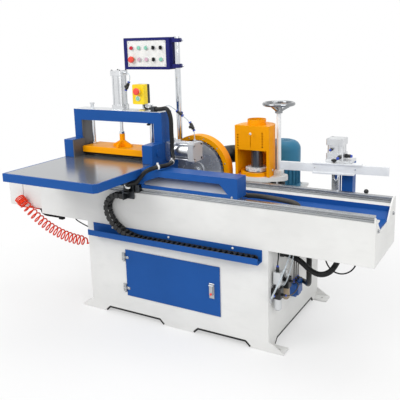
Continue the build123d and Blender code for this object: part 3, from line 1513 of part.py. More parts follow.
def panel_lines():
    """Left, right, front, rear, bottom and top of the control panel."""
    right = pole_x - panel_from_pole
    front = pole_y - panel_depth * 0.53
    return right - panel_width, right, front, front + panel_depth, panel_bottom, panel_bottom + panel_height


def make_panel_pole():
    """Chrome pole on a round flange with a cap."""
    pole = bar_z(pole_radius, base_height, pole_top_z, pole_x, pole_y)
    pole += bar_z(pole_flange_radius, base_height, base_height + pole_flange_thickness, pole_x, pole_y)
    return chamfer(pole.edges().sort_by(Axis.Z)[-1:], 2.0)


def make_panel_box():
    """Blue panel box, open at the front behind its frame, with two clamps for the pole."""
    x0, x1, y0, y1, z0, z1 = panel_lines()
    box = block(x0, x1, y0, y1, z0, z1)
    box = fillet(box.edges().filter_by(Axis.Y), 4.0)
    s = panel_sheet
    f = panel_frame
    box -= block(x0 + s, x1 - s, y0 + panel_recess + panel_face_thickness, y1 - s, z0 + s, z1 - s)
    box -= block(x0 + f, x1 - f, y0 - 1, y0 + panel_recess + panel_face_thickness + 1, z0 + f * 0.7,
                 z1 - f * 0.7)
    box += block(x1, x1 + 6.0, pole_y - clamp_width / 2, pole_y + clamp_width / 2, z0 + clamp_inset,
                 z1 - clamp_inset)
    for z in (z0 + clamp_inset, z1 - clamp_inset - clamp_height):
        clamp = block(x1, pole_x + clamp_width / 2, pole_y - clamp_width / 2, pole_y + clamp_width / 2, z,
                      z + clamp_height)
        clamp = chamfer(clamp.edges().filter_by(Axis.Z).sort_by(Axis.X)[-2:], 7.0)
        clamp -= bar_z(pole_radius + running_gap, z - 1, z + clamp_height + 1, pole_x, pole_y)
        end = pole_x + clamp_width / 2
        clamp += bar_x(clamp_bolt_radius, end, end + 20.0, pole_y, z + clamp_height / 2)
        clamp += bar_x(clamp_bolt_radius * 2.0, end + 10.0, end + 17.0, pole_y, z + clamp_height / 2)
        box += clamp
    return box


def panel_control(column, row):
    """Centre of a panel control: five columns, row 0 above row 1, on the face plate."""
    x0, x1, y0, _, z0, z1 = panel_lines()
    x = (x0 + x1) / 2 + (column - 2) * control_pitch_x
    z = (z0 + z1) / 2 + (0.5 - row) * control_pitch_z
    return x, y0 + panel_recess, z


def make_panel_face():
    """White face plate with ten bezels and the pilot lamp."""
    x0, x1, y0, _, z0, z1 = panel_lines()
    f = panel_frame
    y = y0 + panel_recess
    face = block(x0 + f, x1 - f, y, y + panel_face_thickness, z0 + f * 0.7, z1 - f * 0.7)
    for column in range(5):
        for row in range(2):
            cx, cy, cz = panel_control(column, row)
            face += bar_y(control_bezel_radius, cy - control_bezel_height, cy, cx, cz)
            if (column, row) == (0, 0):
                face += bar_y(lamp_radius, cy - control_bezel_height - 8.0, cy - control_bezel_height, cx,
                              cz)
            else:
                face -= bar_y(control_cap_radius + control_gap, cy - control_bezel_height - 1, cy + 9.0,
                              cx, cz)
    return face


def make_push_button(centre):
    """Round push button cap with its stem."""
    x, y, z = centre
    front = y - control_cap_height
    cap = bar_y(control_cap_radius, front, y + 12.0, x, z)
    return fillet(cap.edges().sort_by(Axis.Y)[:1], 2.0)


def make_selector(centre):
    """Selector switch: round base with a tapered lever."""
    x, y, z = centre
    front = y - control_bezel_height - 3.0
    knob = bar_y(control_cap_radius, front, y + 12.0, x, z)
    lever = along_y([(x - 4.0, z - 10.0), (x + 4.0, z - 10.0), (x + 2.6, z + 11.0), (x - 2.6, z + 11.0)],
                    front - 11.0, front)
    return knob + lever


def make_mushroom(centre):
    """Red mushroom stop button with its stem."""
    x, y, z = centre
    neck = bar_y(control_cap_radius, y - control_bezel_height - 7.0, y + 12.0, x, z)
    front = y - control_bezel_height - 7.0
    head = bar_y(mushroom_radius, front - mushroom_height * 0.6, front, x, z)
    return neck + fillet(head.edges().sort_by(Axis.Y)[:1], 6.0)


def make_aligner_post():
    """Blue post behind the bed with the plate for the cylinder and the lower guide of the rod."""
    p = aligner_post / 2
    x = aligner_x + aligner_post_offset
    y = aligner_y + 24.0
    low = bed_bottom + 20.0
    post = block(x - p, x + p, y - p, y + p, low, aligner_plate_z)
    c = aligner_cap / 2 + 2.0
    top = block(aligner_x - c, x + p, aligner_y - c, y + p, aligner_plate_z,
                aligner_plate_z + aligner_plate_thickness)
    top -= bar_z(aligner_rod_radius + 1.0, aligner_plate_z - 1,
                 aligner_plate_z + aligner_plate_thickness + 1,
                 aligner_x, aligner_y)
    guide_z = bed_top - 110.0
    guide = block(aligner_x - 34.0, x - p, aligner_y - 34.0, aligner_y + 34.0, guide_z, guide_z + 50.0)
    guide -= bar_z(aligner_rod_radius + running_gap, guide_z - 1, guide_z + 51.0, aligner_x, aligner_y)
    bracket = block(x - p, x + p, bed_rear, y - p, low, low + 150.0)
    bracket -= block(x - p + 8.0, x + p - 8.0, bed_rear + 10.0, y - p + 1, low + 12.0, low + 151.0)
    index_y = bed_rear + index_block_depth - 14.0
    pad = block(index_x - index_block / 2, index_x + index_block / 2, bed_rear, bed_rear + index_block_depth,
                bed_top - 58.0, bed_top - 22.0)
    pad -= bar_z(index_pin_radius + running_gap, bed_top - 59.0, bed_top - 21.0, index_x, index_y)
    return [post + top + guide + bracket, pad]


def make_aligner_cylinder():
    """Aligner cylinder on the post's plate, rod downwards."""
    body = profile_cylinder(aligner_cap, aligner_cap_height, aligner_barrel_length, aligner_barrel_width,
                            aligner_bore_radius, aligner_rod_radius)
    return Pos(aligner_x, aligner_y, aligner_plate_z + aligner_plate_thickness) * body


def make_aligner_bar():
    """Aligner bar in its clamp, on the piston rod."""
    half = aligner_bar_length / 2
    z0 = table_z + aligner_bar_lift - aligner_bar_height
    z1 = z0 + aligner_bar_height
    bar = block(-half, half, 0, aligner_bar_thickness, z0, z1)
    for share in (-0.34, 0.4):
        bar -= bar_y(4.5, -1, aligner_bar_thickness + 1, half * share, (z0 + z1) / 2)
    c = aligner_clamp_length / 2
    t = aligner_clamp_plate
    bar += block(-c + 20.0, c + 20.0, -8.0, aligner_clamp_depth, z1, z1 + t * 0.75)
    bar += block(-c + 20.0, c - 16.0, -8.0, aligner_clamp_depth, z0 - t, z0)
    bar += block(-42.0, 24.0, aligner_bar_thickness, aligner_clamp_depth, z0, z1)
    bar = Pos(aligner_x, aligner_bar_setback, 0) * Rot(0, 0, aligner_turn) * bar
    hub = bar_z(28.0, z0 - t, z1, aligner_x, aligner_y) + block(
        aligner_x - 27.0, aligner_x + 17.0, aligner_bar_setback + aligner_clamp_depth - 12.0, aligner_y,
        z0 - t, z1)
    head = aligner_plate_z + aligner_plate_thickness + aligner_cap_height + aligner_barrel_length - 1.0
    rod = bar_z(aligner_rod_radius, z0 - t - 190.0, head, aligner_x, aligner_y)
    piston = bar_z(aligner_bore_radius - running_gap, head - aligner_piston_height, head, aligner_x,
                   aligner_y)
    return bar + hub + rod + piston


def make_index_knob():
    """Index pin with its black ball knob."""
    y = bed_rear + index_block_depth - 14.0
    pin = bar_z(index_pin_radius, bed_top - 66.0, bed_top + index_ball_lift, index_x, y)
    return pin + Pos(index_x, y, bed_top + index_ball_lift) * Sphere(index_ball_radius)


def air_column(y, low, with_head):
    """One column of the air unit: bowl, body, riser and, on the front one, a head on top."""
    x = half_length + air_bracket + air_body / 2
    b = air_body / 2
    body_z = low + air_bowl_height
    column = bar_z(air_bowl_radius, low + air_bowl_radius * 0.5, body_z, x, y)
    column += Pos(x, y, low + air_bowl_radius * 0.5) * Cone(air_bowl_radius * 0.6, air_bowl_radius,
                                                            air_bowl_radius * 0.5,
                                                          align=(Align.CENTER, Align.CENTER, Align.MAX))
    body = block(x - b, x + b, y - b, y + b, body_z, body_z + air_body_height)
    column += chamfer(body.edges().filter_by(Axis.Z), 4.0)
    top = body_z + air_body_height
    riser_top = air_link_z + 26.0
    column += bar_z(air_riser_radius, top, riser_top, x, y)
    if with_head:
        head = block(x - b * 0.8, x + b * 0.8, y - b * 0.8, y + b * 0.8, riser_top,
                     riser_top + air_head_height)
        column += chamfer(head.edges().filter_by(Axis.Z), 4.0)
    else:
        column += Pos(x, y, riser_top) * push_fitting(12.0, 34.0)
    return column


def make_air_unit():
    """Air unit on the right wall: two columns on a bracket, their link, and the blue valve box."""
    x0 = half_length
    unit = block(x0, x0 + air_bracket, air_front_y - 30.0, air_rear_y + 30.0, air_low_z + 40.0,
                 air_link_z + 10.0)
    unit += air_column(air_front_y, air_low_z, True) + air_column(air_rear_y, air_low_z + 16.0, False)
    x = x0 + air_bracket + air_body / 2
    unit += bar_y(8.0, air_front_y, air_rear_y, x, air_link_z)
    for y in (air_front_y + 34.0, air_rear_y + 24.0):
        z = air_low_z + air_bowl_height + 34.0
        unit += Pos(x, y - 12.0, z) * Rot(-90, 0, 0) * push_fitting(8.0, 30.0)
    box = block(x0, x0 + valve_box_depth, valve_box_left_y, valve_box_right_y, valve_box_z,
                valve_box_z + valve_box_height)
    box = chamfer(box.edges().filter_by(Axis.X), 4.0)
    cover = block(x0 + valve_box_depth, x0 + valve_box_depth + 12.0, valve_box_left_y + 8.0,
                  valve_box_left_y + 46.0,
                  valve_box_z + 10.0, valve_box_z + valve_box_height - 6.0)
    return [unit, box + cover]


def make_machine_hoses():
    """Hoses under the right end of the bed and in the trough, each between two glands of the machine."""
    y = -205.0
    loop = tube([(half_length, y, 470.0), (604.0, y, 470.0), (668.0, y - 2.0, 446.0),
                 (716.0, y - 5.0, 406.0),
                 (768.0, y - 4.0, 388.0), (816.0, y, 408.0), (846.0, y + 3.0, 452.0), (862.0, y, 496.0),
                 (862.0, y, bed_bottom)], thick_hose_radius)
    drop = tube([(692.0, -150.0, bed_bottom), (692.0, -150.0, 496.0), (691.0, -146.0, 430.0),
                 (684.0, -126.0, 346.0),
                 (670.0, -86.0, 282.0), (646.0, -34.0, 248.0), (616.0, 22.0, 232.0), (588.0, 44.0, 228.0),
                 (half_length, 44.0, 228.0)], thick_hose_radius)
    yc = -240.0
    cable = tube([(800.0, yc, bed_bottom), (800.0, yc, 510.0), (812.0, yc + 1.0, 466.0),
                  (836.0, yc + 3.0, 436.0),
                  (872.0, yc + 4.0, 424.0), (910.0, yc + 3.0, 434.0), (942.0, yc + 1.0, 462.0),
                  (962.0, yc, 510.0), (962.0, yc, bed_bottom)], thin_cable_radius)
    yt = -172.0
    floor = bed_top - trough_floor_depth
    start = feed_right_x + 20.0
    trough = tube([(start, yt, floor), (start, yt, floor + 28.0), (start + 22.0, yt, floor + 48.0),
                   (start + 58.0, yt + 1.0, floor + 57.0), (start + 118.0, yt, floor + 58.0),
                   (start + 180.0, yt - 1.0, floor + 56.0), (start + 240.0, yt, floor + 52.0),
                   (start + 300.0, yt + 1.0, floor + 46.0), (start + 330.0, yt, floor + 27.0),
                   (start + 330.0, yt, floor)], trough_hose_radius)
    lx = bed_left_x + 226.0
    left = tube([(lx, -330.0, bed_bottom), (lx, -330.0, 524.0), (lx + 14.0, -329.0, 510.0),
                 (lx + 54.0, -327.0, 494.0), (lx + 100.0, -325.0, 480.0), (lx + 122.0, -325.0, 476.0),
                 (-half_length, -325.0, 476.0)], thin_cable_radius)
    return [loop, drop, cable, trough, left]


def red_hose_route():
    """Centre line of the coiled air hose as (point, direction) pairs, a quarter turn apart."""
    wall = Vector(-half_length, -325.0, 392.0)
    out = Vector(-1, 0, 0)
    route = [(wall, out), (wall + out * 10.0, out)]
    axis_start = Vector(-612.0, -332.0, 392.0)
    axis_low = Vector(-850.0, -368.0, 392.0)
    axis_end = Vector(-1066.0, -368.0, 576.0)
    total = red_curls + red_bundle_turns
    tight = 10.5

    def axis_at(turn):
        share = min(turn / red_curls, 1.0)
        a = axis_start * (1 - share) ** 2 + axis_low * (2 * share * (1 - share)) + axis_end * share**2
        heading = (axis_end - axis_low).normalized()
        return a + heading * (max(turn - red_curls, 0.0) * tight)

    def helix(turn):
        ahead = (axis_at(turn + 0.05) - axis_at(turn)).normalized()
        across = Vector(0, 1, 0)
        up = ahead.cross(across).normalized()
        side = up.cross(ahead).normalized()
        grow = min(turn / 1.5, 1.0)
        radius = red_curl_radius * (0.55 + 0.45 * grow)
        angle = 2 * math.pi * turn
        return axis_at(turn) + up * (radius * math.cos(angle)) + side * (radius * math.sin(angle))

    steps = int(total * 4)
    for i in range(steps + 1):
        turn = i / 4
        route.append((helix(turn),
                      (helix(turn + 0.01) - helix(turn - 0.01 if turn > 0 else turn)).normalized()))
    z_end = bed_bottom + end_box_lift - 13.0
    into = Vector(1, 0, 0)
    fitting = Vector(hose_elbow_x - 14.0, bed_front + end_box_setback + hose_elbow_y, z_end)
    route.append((Vector(-1138.0, -354.0, 557.0), Vector(0.1, 0.25, -1).normalized()))
    route += [(Vector(-1100.0, fitting.Y, z_end), into), (fitting - into * 10.0, into), (fitting, into)]
    return route


def make_coil_hose():
    """Red coiled air hose from the left wall to the end box, with its spare turns hung up as a bundle."""
    route = red_hose_route()
    edges = []
    for (p0, d0), (p1, d1) in zip(route, route[1:]):
        if (p1 - p0).normalized().dot(d0) > 0.999999 and d0.dot(d1) > 0.999999:
            edges.append(Line(p0, p1))
        else:
            edges += biarc(p0, d0, p1, d1)
    path = Wire([e.edge() for e in edges])
    solid = sweep(Plane(path @ 0, z_dir=path % 0) * Circle(red_hose_radius), path=path)
    count = 1200
    points = [path @ (i / count) for i in range(count + 1)]
    skip = int(5.0 * red_hose_radius / (path.length / count)) + 1
    gap = min((points[i] - points[j]).length for i in range(0, count, 2) for j in range(i + skip, count, 2))
    print("red hose", round(path.length), "mm, least gap to itself", round(gap - 2 * red_hose_radius, 2),
          "volume over section times length",
          round(solid.volume / (math.pi * red_hose_radius**2 * path.length), 4))
    return solid


def save(name, shape):
    """Write one sub part, a solid or a list of solids, to its own file."""
    pieces = shape if isinstance(shape, list) else [shape]
    solids = [solid for piece in pieces for solid in piece.solids()]
    part = solids[0] if len(solids) == 1 else Compound(solids)
    part.label = name
    export_step(part, f"parts/{name}.step")


PANEL_CONTROLS = [
    ("panel_green_button_left", make_push_button, 1, 0),
    ("panel_green_button_middle", make_push_button, 2, 0),
    ("panel_selector_left", make_selector, 3, 0),
    ("panel_selector_right", make_selector, 4, 0),
    ("panel_stop_mushroom", make_mushroom, 0, 1),
    ("panel_red_button_left", make_push_button, 1, 1),
    ("panel_red_button_middle", make_push_button, 2, 1),
    ("panel_selector_lower", make_selector, 3, 1),
    ("panel_green_button_right", make_push_button, 4, 1),
]

PARTS = {
    "base_cabinet": make_base_cabinet,
    "chain_tray": make_chain_tray,
    "bed_beam": make_bed_beam,
    "bed_trough": make_bed_trough,
    "guide_rails": make_guide_rails,
    "end_box": make_end_box,
    "feed_cylinder": make_feed_cylinder,
    "saw_motor": make_saw_motor,
    "saw_hood": make_saw_hood,
    "saw_duct": make_saw_duct,
    "shaper_base": make_shaper_base,
    "shaper_hood": make_shaper_hood,
    "spindle_motor": make_spindle_motor,
    "drive_belt": make_drive_belt,
    "panel_pole": make_panel_pole,
    "aligner_post": make_aligner_post,
    "aligner_cylinder": make_aligner_cylinder,
    "air_unit": make_air_unit,
    "machine_hoses": make_machine_hoses,
    "coil_hose": make_coil_hose,
    "door_hinges": make_door_hinges,
    "table_top": make_table_top,
    "table_frame": make_table_frame,
    "carriage_arm": make_carriage_arm,
    "carriage_blocks": make_carriage_blocks,
    "gantry": make_gantry,
    "carriage_plates": make_carriage_plates,
    "press_cylinder": make_press_cylinder,
    "side_cylinder": make_side_cylinder,
    "estop_box": make_estop_box,
    "carriage_conduit": make_carriage_conduit,
    "drag_chain": make_drag_chain,
    "feed_rod": make_feed_rod,
    "press_plate": make_press_plate,
    "press_rods": make_press_rods,
    "side_pusher": make_side_pusher,
    "door_panel": make_door_panel,
    "door_lock": make_door_lock,
    "saw_blade": make_saw_blade,
    "spindle_quill": make_spindle_quill,
    "spindle_shaft": make_spindle_shaft,
    "cutter_head": make_cutter_head,
    "motor_pulley": make_motor_pulley,
    "handwheel": make_handwheel,
    "aligner_bar": make_aligner_bar,
    "panel_box": make_panel_box,
    "panel_face": make_panel_face,
    "main_switch": make_main_switch,
    "index_knob": make_index_knob,
}

os.makedirs("parts", exist_ok=True)
for part_name, maker in PARTS.items():
    save(part_name, maker())
for control_name, maker, column, row in PANEL_CONTROLS:
    save(control_name, maker(panel_control(column, row)))
save("station_stop_mushroom", make_mushroom(station_control(0)))
save("station_green_button", make_push_button(station_control(1)))
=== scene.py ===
"""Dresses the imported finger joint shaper: paints, metals, hoses, cable chain, fasteners and a stage."""

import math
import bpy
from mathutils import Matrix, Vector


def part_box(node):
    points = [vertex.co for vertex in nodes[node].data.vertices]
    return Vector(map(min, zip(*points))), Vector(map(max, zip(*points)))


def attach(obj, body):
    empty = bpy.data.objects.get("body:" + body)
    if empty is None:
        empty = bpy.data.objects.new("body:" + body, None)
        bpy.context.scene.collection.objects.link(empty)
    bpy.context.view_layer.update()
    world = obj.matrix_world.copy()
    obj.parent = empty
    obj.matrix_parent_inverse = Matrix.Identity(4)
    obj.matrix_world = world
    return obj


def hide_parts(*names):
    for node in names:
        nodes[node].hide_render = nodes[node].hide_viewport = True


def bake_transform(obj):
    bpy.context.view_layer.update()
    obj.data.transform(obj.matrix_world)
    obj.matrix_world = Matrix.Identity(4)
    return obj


bl_info = {
    "name": "Finger joint shaper dressing",
    "version": (1, 0, 0),
    "blender": (4, 5, 0),
    "location": "3D View > Sidebar > Shaper",
    "description": "Finishes, hoses, cable chain, fasteners and stage of a finger joint shaper",
    "category": "Object",
}

from typing import Callable, NamedTuple

import bmesh
import bpy
from bpy.props import FloatProperty, FloatVectorProperty, PointerProperty
from bpy.types import Operator, Panel, PropertyGroup
from mathutils import Matrix, Vector

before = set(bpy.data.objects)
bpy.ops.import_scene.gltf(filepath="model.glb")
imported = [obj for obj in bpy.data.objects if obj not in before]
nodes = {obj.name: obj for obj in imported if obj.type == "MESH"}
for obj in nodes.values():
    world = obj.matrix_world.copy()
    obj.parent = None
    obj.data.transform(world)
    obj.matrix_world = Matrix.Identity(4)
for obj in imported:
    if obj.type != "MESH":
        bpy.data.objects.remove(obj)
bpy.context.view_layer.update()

UP = Vector((0, 0, 1))
DOWN = Vector((0, 0, -1))
FRONT = Vector((0, -1, 0))
REAR = Vector((0, 1, 0))
RIGHT = Vector((1, 0, 0))
LEFT = Vector((-1, 0, 0))

# Places on the machine, in millimetres

BLADE_CENTRE = (-73, 60, 791)
COLUMN_FOOT = (408, 142, 0)
ALIGNER_ROD_FOOT = (738, 135, 0)
PRESS_CYLINDER_TOP = (-496, -88, 1377)
SIDE_CYLINDER_END = (3, -57, 925)
SPINDLE_MOTOR_PLATE = (325, 400, 657)
BED_RIGHT_END = 1069
RAIL_ROWS = (-340, 0)
AIR_UNIT_X = 592
VALVE_X = 580
VALVE_ROWS = (-66, -36, -6)
CABINET_FRONT = -368
CABINET_END = 563

# Diameters of the smaller hoses, cables and lines, in metres

TROUGH_HOSE_DIAMETER = 0.026
CONDUIT_DIAMETER = 0.024
STATION_CABLE_DIAMETER = 0.009
AIR_HOSE_DIAMETER = 0.008
CABLE_DIAMETER = 0.007
UNIT_LINE_DIAMETER = 0.006


def mm(x, y, z):
    """A point of the machine in metres, from millimetres."""
    return Vector((x, y, z)) / 1000


def box_mm(node):
    """Lowest and highest corners of a node at rest, in millimetres."""
    low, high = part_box(node)
    return low * 1000, high * 1000


def centre_of(node):
    """Middle of a node's box, in millimetres."""
    low, high = box_mm(node)
    return (low + high) / 2


def polar(radius, degrees):
    """Offsets of a point on a circle."""
    angle = math.radians(degrees)
    return radius * math.cos(angle), radius * math.sin(angle)


def linear(code):
    """Linear colour from a six digit screen colour."""
    channels = [(code >> shift & 255) / 255 for shift in (16, 8, 0)]
    return tuple(c / 12.92 if c < 0.0405 else ((c + 0.055) / 1.055) ** 2.4 for c in channels)


def swatch(label, use, code):
    """A colour that the user can change."""
    return FloatVectorProperty(
        name=label, description=use, subtype="COLOR", size=3, min=0, max=1, default=linear(code)
    )


def length(label, use, metres):
    """A size that the user can change."""
    return FloatProperty(
        name=label, description=use, default=metres, min=0, subtype="DISTANCE", unit="LENGTH"
    )


class ShaperColours(PropertyGroup):
    """Colours of the paints, plastics and rubbers."""

    machine_white: swatch("Machine white", "Base cabinet, bed and end box", 0xE4E4E2)
    machine_blue: swatch("Machine blue", "Table frame, gantry, tray and door", 0x1E539B)
    panel_blue: swatch("Panel blue", "Hanging control box", 0x23266B)
    hood_orange: swatch("Hood orange", "Shaper hood and press plate", 0xFBA400)
    guard_orange: swatch("Guard orange", "Saw guard", 0xFFA800)
    motor_teal: swatch("Motor teal", "Spindle motor", 0x3F81A3)
    motor_grey: swatch("Motor grey", "Saw motor", 0x8E9499)
    station_yellow: swatch("Station yellow", "Stop box on the gantry", 0xFFD912)
    stop_red: swatch("Stop red", "Mushroom buttons", 0xF04A3C)
    lamp_red: swatch("Lamp red", "Pilot lamp of the panel", 0xC8102E)
    lens_green: swatch("Lens green", "Pale green buttons", 0x86CDB4)
    lens_pink: swatch("Lens pink", "Pale red buttons", 0xD9B0C4)
    hose_red: swatch("Hose red", "Coiled air hose", 0xE8380A)
    face_white: swatch("Face white", "Control face plate", 0xEDEDEA)
    black: swatch("Black", "Rubber, cables and black plastic", 0x101112)
    steel: swatch("Steel", "Ground steel", 0xB7BABD)
    dark_steel: swatch("Dark steel", "Blackened steel", 0x46494D)
    chrome: swatch("Chrome", "Bright plated parts", 0xDADDE0)
    aluminium: swatch("Aluminium", "Cylinders and cast parts", 0xD8DADC)
    ring_blue: swatch("Ring blue", "Release rings of the air fittings", 0x2B4BB8)
    clip_white: swatch("Clip white", "Cable clips", 0xEFEFEC)


class ShaperSizes(PropertyGroup):
    """Sizes of what is added to the solids."""

    chain_pitch: length("Chain pitch", "Distance between the cable chain's links", 0.030)
    chain_width: length("Chain width", "Width of a link of the cable chain", 0.044)
    chain_height: length("Chain height", "Height of a link of the cable chain", 0.030)
    rail_bolt_pitch: length("Rail bolt pitch", "Distance between the caps on the rails", 0.060)
    rail_cap_radius: length("Rail cap radius", "Radius of the caps on the rails", 0.0065)
    edge_wear: length("Edge wear", "Width of the rubbed edges of painted steel", 0.0035)
    hose_diameter: length("Hose diameter", "Diameter of the black cable hoses", 0.028)
    air_line_diameter: length("Air line diameter", "Diameter of the thin air lines", 0.005)
    camera_lens: length("Camera lens", "Focal length of the photograph's camera", 0.05286)


def colours():
    return bpy.context.scene.shaper_colours


def sizes():
    return bpy.context.scene.shaper_sizes


class Finish(NamedTuple):
    """Colour, roughness and metal of one zone of a surface."""

    colour: tuple
    roughness: float
    metal: float = 0.0


# Material building blocks


def new_material(name):
    """A material with its tree and its shader, which is linked to the output."""
    material = bpy.data.materials.new(name)
    material.use_nodes = True
    tree = material.node_tree
    tree.nodes.clear()
    shader = tree.nodes.new("ShaderNodeBsdfPrincipled")
    output = tree.nodes.new("ShaderNodeOutputMaterial")
    tree.links.new(shader.outputs["BSDF"], output.inputs["Surface"])
    return material, tree, shader


def feed(tree, socket, value):
    """Links a socket, or sets its value."""
    if isinstance(value, bpy.types.NodeSocket):
        tree.links.new(value, socket)
    elif isinstance(value, (int, float)):
        socket.default_value = value
    else:
        socket.default_value = (*value[:3], 1.0)


def object_place(tree, stretch=(1, 1, 1)):
    """A point of the surface in the machine's own frame."""
    coords = tree.nodes.new("ShaderNodeTexCoord")
    mapping = tree.nodes.new("ShaderNodeMapping")
    mapping.inputs["Scale"].default_value = stretch
    tree.links.new(coords.outputs["Object"], mapping.inputs["Vector"])
    return mapping.outputs["Vector"]


def noise(tree, scale, detail, stretch=(1, 1, 1)):
    """Cloudy pattern on the machine's own frame."""
    node = tree.nodes.new("ShaderNodeTexNoise")
    node.inputs["Scale"].default_value = scale
    node.inputs["Detail"].default_value = detail
    tree.links.new(object_place(tree, stretch), node.inputs["Vector"])
    return node.outputs["Fac"]


def spread(tree, value, low, high, start=0.3, stop=0.7):
    """Spreads a value from start to stop over low to high."""
    node = tree.nodes.new("ShaderNodeMapRange")
    tree.links.new(value, node.inputs["Value"])
    for name, number in (("From Min", start), ("From Max", stop), ("To Min", low), ("To Max", high)):
        node.inputs[name].default_value = number
    return node.outputs["Result"]


def maths(tree, operation, *values):
    """Result of an operation on numbers."""
    node = tree.nodes.new("ShaderNodeMath")
    node.operation = operation
    for socket, value in zip(node.inputs, values):
        feed(tree, socket, value)
    return node.outputs[0]


def vector_maths(tree, operation, first, second=None):
    """Node for an operation on one or two vectors."""
    node = tree.nodes.new("ShaderNodeVectorMath")
    node.operation = operation
    tree.links.new(first, node.inputs[0])
    if isinstance(second, bpy.types.NodeSocket):
        tree.links.new(second, node.inputs[1])
    elif second is not None:
        node.inputs[1].default_value = second
    return node


def mixed(tree, factor, first, second):
    """Colours or numbers mixed by a factor."""
    node = tree.nodes.new("ShaderNodeMix")
    number = isinstance(second, (int, float))
    node.data_type = "FLOAT" if number else "RGBA"
    feed(tree, node.inputs[0], factor)
    feed(tree, node.inputs[2 if number else 6], first)
    feed(tree, node.inputs[3 if number else 7], second)
    return node.outputs[0 if number else 2]


def shade(colour, amount):
    """A colour made darker or lighter."""
    return tuple(min(c * amount, 1.0) for c in colour[:3])


def mottled(tree, pattern, colour, dark, light, contrast=1.0):
    """A colour that wanders between a darker and a lighter shade with a pattern."""
    return mixed(tree, spread(tree, pattern, 0.0, contrast), shade(colour, dark), shade(colour, light))


def rounded_normal(tree, radius):
    """Normal of the surface as if its edges were rounded."""
    bevel = tree.nodes.new("ShaderNodeBevel")
    bevel.samples = 4
    bevel.inputs["Radius"].default_value = radius
    return bevel.outputs["Normal"]


def relief(tree, shader, height, depth, rounding):
    """Small bumps on the surface, with edges that catch light."""
    bump = tree.nodes.new("ShaderNodeBump")
    bump.inputs["Distance"].default_value = depth
    bump.inputs["Strength"].default_value = 1.0
    tree.links.new(height, bump.inputs["Height"])
    if rounding:
        tree.links.new(rounded_normal(tree, rounding), bump.inputs["Normal"])
    tree.links.new(bump.outputs["Normal"], shader.inputs["Normal"])


def rubbed_edges(tree, width):
    """One along the edges, nought on open faces, broken up by noise."""
    flat = tree.nodes.new("ShaderNodeNewGeometry").outputs["Normal"]
    dot = vector_maths(tree, "DOT_PRODUCT", rounded_normal(tree, width), flat)
    edge = spread(tree, dot.outputs["Value"], 1.0, 0.0, start=0.86, stop=0.985)
    return maths(tree, "MULTIPLY", edge, spread(tree, noise(tree, scale=35.0, detail=4.0), 0.15, 1.0))


def band(tree, value, low, high):
    """One where a value in metres is between two limits in millimetres."""
    return maths(tree, "COMPARE", value, (low + high) / 2000, (high - low) / 2000)


def box_zone(x=None, y=None, z=None):
    """Mask maker for a box of the machine, in millimetres."""

    def mask(tree):
        split = tree.nodes.new("ShaderNodeSeparateXYZ")
        tree.links.new(object_place(tree), split.inputs[0])
        result = None
        for axis, span in zip("XYZ", (x, y, z)):
            if span:
                inside = band(tree, split.outputs[axis], *span)
                result = inside if result is None else maths(tree, "MULTIPLY", result, inside)
        return result

    return mask


def round_zone(centre, axis, low, high):
    """Mask maker for a ring about an axis through a point, in millimetres."""

    def mask(tree):
        offset = vector_maths(tree, "SUBTRACT", object_place(tree), mm(*centre))
        across = Vector(1.0 - abs(a) for a in axis)
        flat = vector_maths(tree, "MULTIPLY", offset.outputs["Vector"], across)
        size = vector_maths(tree, "LENGTH", flat.outputs["Vector"])
        return band(tree, size.outputs["Value"], low, high)

    return mask


def both(first, second):
    """Mask maker for where two zones overlap."""
    return lambda tree: maths(tree, "MULTIPLY", first(tree), second(tree))


def lay_zones(tree, shader, tone, rough, metal, zones=()):
    """Links colour, roughness and metal, with the zones that have another finish."""
    even_metal = all(coat.metal == metal for coat, _ in zones)
    for coat, zone in zones:
        mask = zone(tree)
        tone = mixed(tree, mask, tone, coat.colour)
        rough = mixed(tree, mask, rough, coat.roughness)
        if not even_metal:
            metal = mixed(tree, mask, metal, coat.metal)
    feed(tree, shader.inputs["Base Color"], tone)
    feed(tree, shader.inputs["Roughness"], rough)
    feed(tree, shader.inputs["Metallic"], metal)


def paint(name, colour, roughness, zones=(), wear=0.5):
    """Sprayed machine enamel with slight orange peel, faint handling marks and rubbed edges."""
    material, tree, shader = new_material(name)
    tone = mottled(tree, noise(tree, scale=3.5, detail=5.0), colour, dark=0.93, light=1.04)
    runs = noise(tree, scale=9.0, detail=6.0, stretch=(1.0, 1.0, 2.5))
    smears = spread(tree, runs, 0.0, 0.16, start=0.52, stop=0.8)
    tone = mixed(tree, smears, tone, shade(colour, 0.72))
    rubbed = maths(tree, "MULTIPLY", rubbed_edges(tree, sizes().edge_wear), wear)
    tone = mixed(tree, rubbed, tone, shade(colour, 1.5))
    rough = spread(tree, noise(tree, scale=22.0, detail=4.0), roughness - 0.05, roughness + 0.09)
    lay_zones(tree, shader, tone, rough, 0.0, zones)
    shader.inputs["Specular IOR Level"].default_value = 0.1
    shader.inputs["Coat Weight"].default_value = 0.02
    shader.inputs["Coat Roughness"].default_value = 0.12
    relief(tree, shader, noise(tree, scale=420.0, detail=2.0), depth=0.00012, rounding=0.0025)
    return material


def ground(name, colour, roughness, grain, zones=(), edge=0.0015, metal=1.0, marks=1.0):
    """Ground or turned steel with fine marks along the grain and a little staining."""
    material, tree, shader = new_material(name)
    lines = noise(tree, scale=14.0, detail=4.0, stretch=grain)
    tone = mottled(tree, lines, colour, dark=0.80, light=1.08, contrast=marks)
    stain = spread(tree, noise(tree, scale=4.0, detail=5.0), 0.0, 0.35 * marks, start=0.5, stop=0.8)
    tone = mixed(tree, stain, tone, shade(colour, 0.62))
    rough = spread(tree, lines, roughness - 0.07 * marks, roughness + 0.12 * marks)
    lay_zones(tree, shader, tone, rough, metal, zones)
    relief(tree, shader, lines, depth=0.00008 * marks, rounding=edge)
    return material


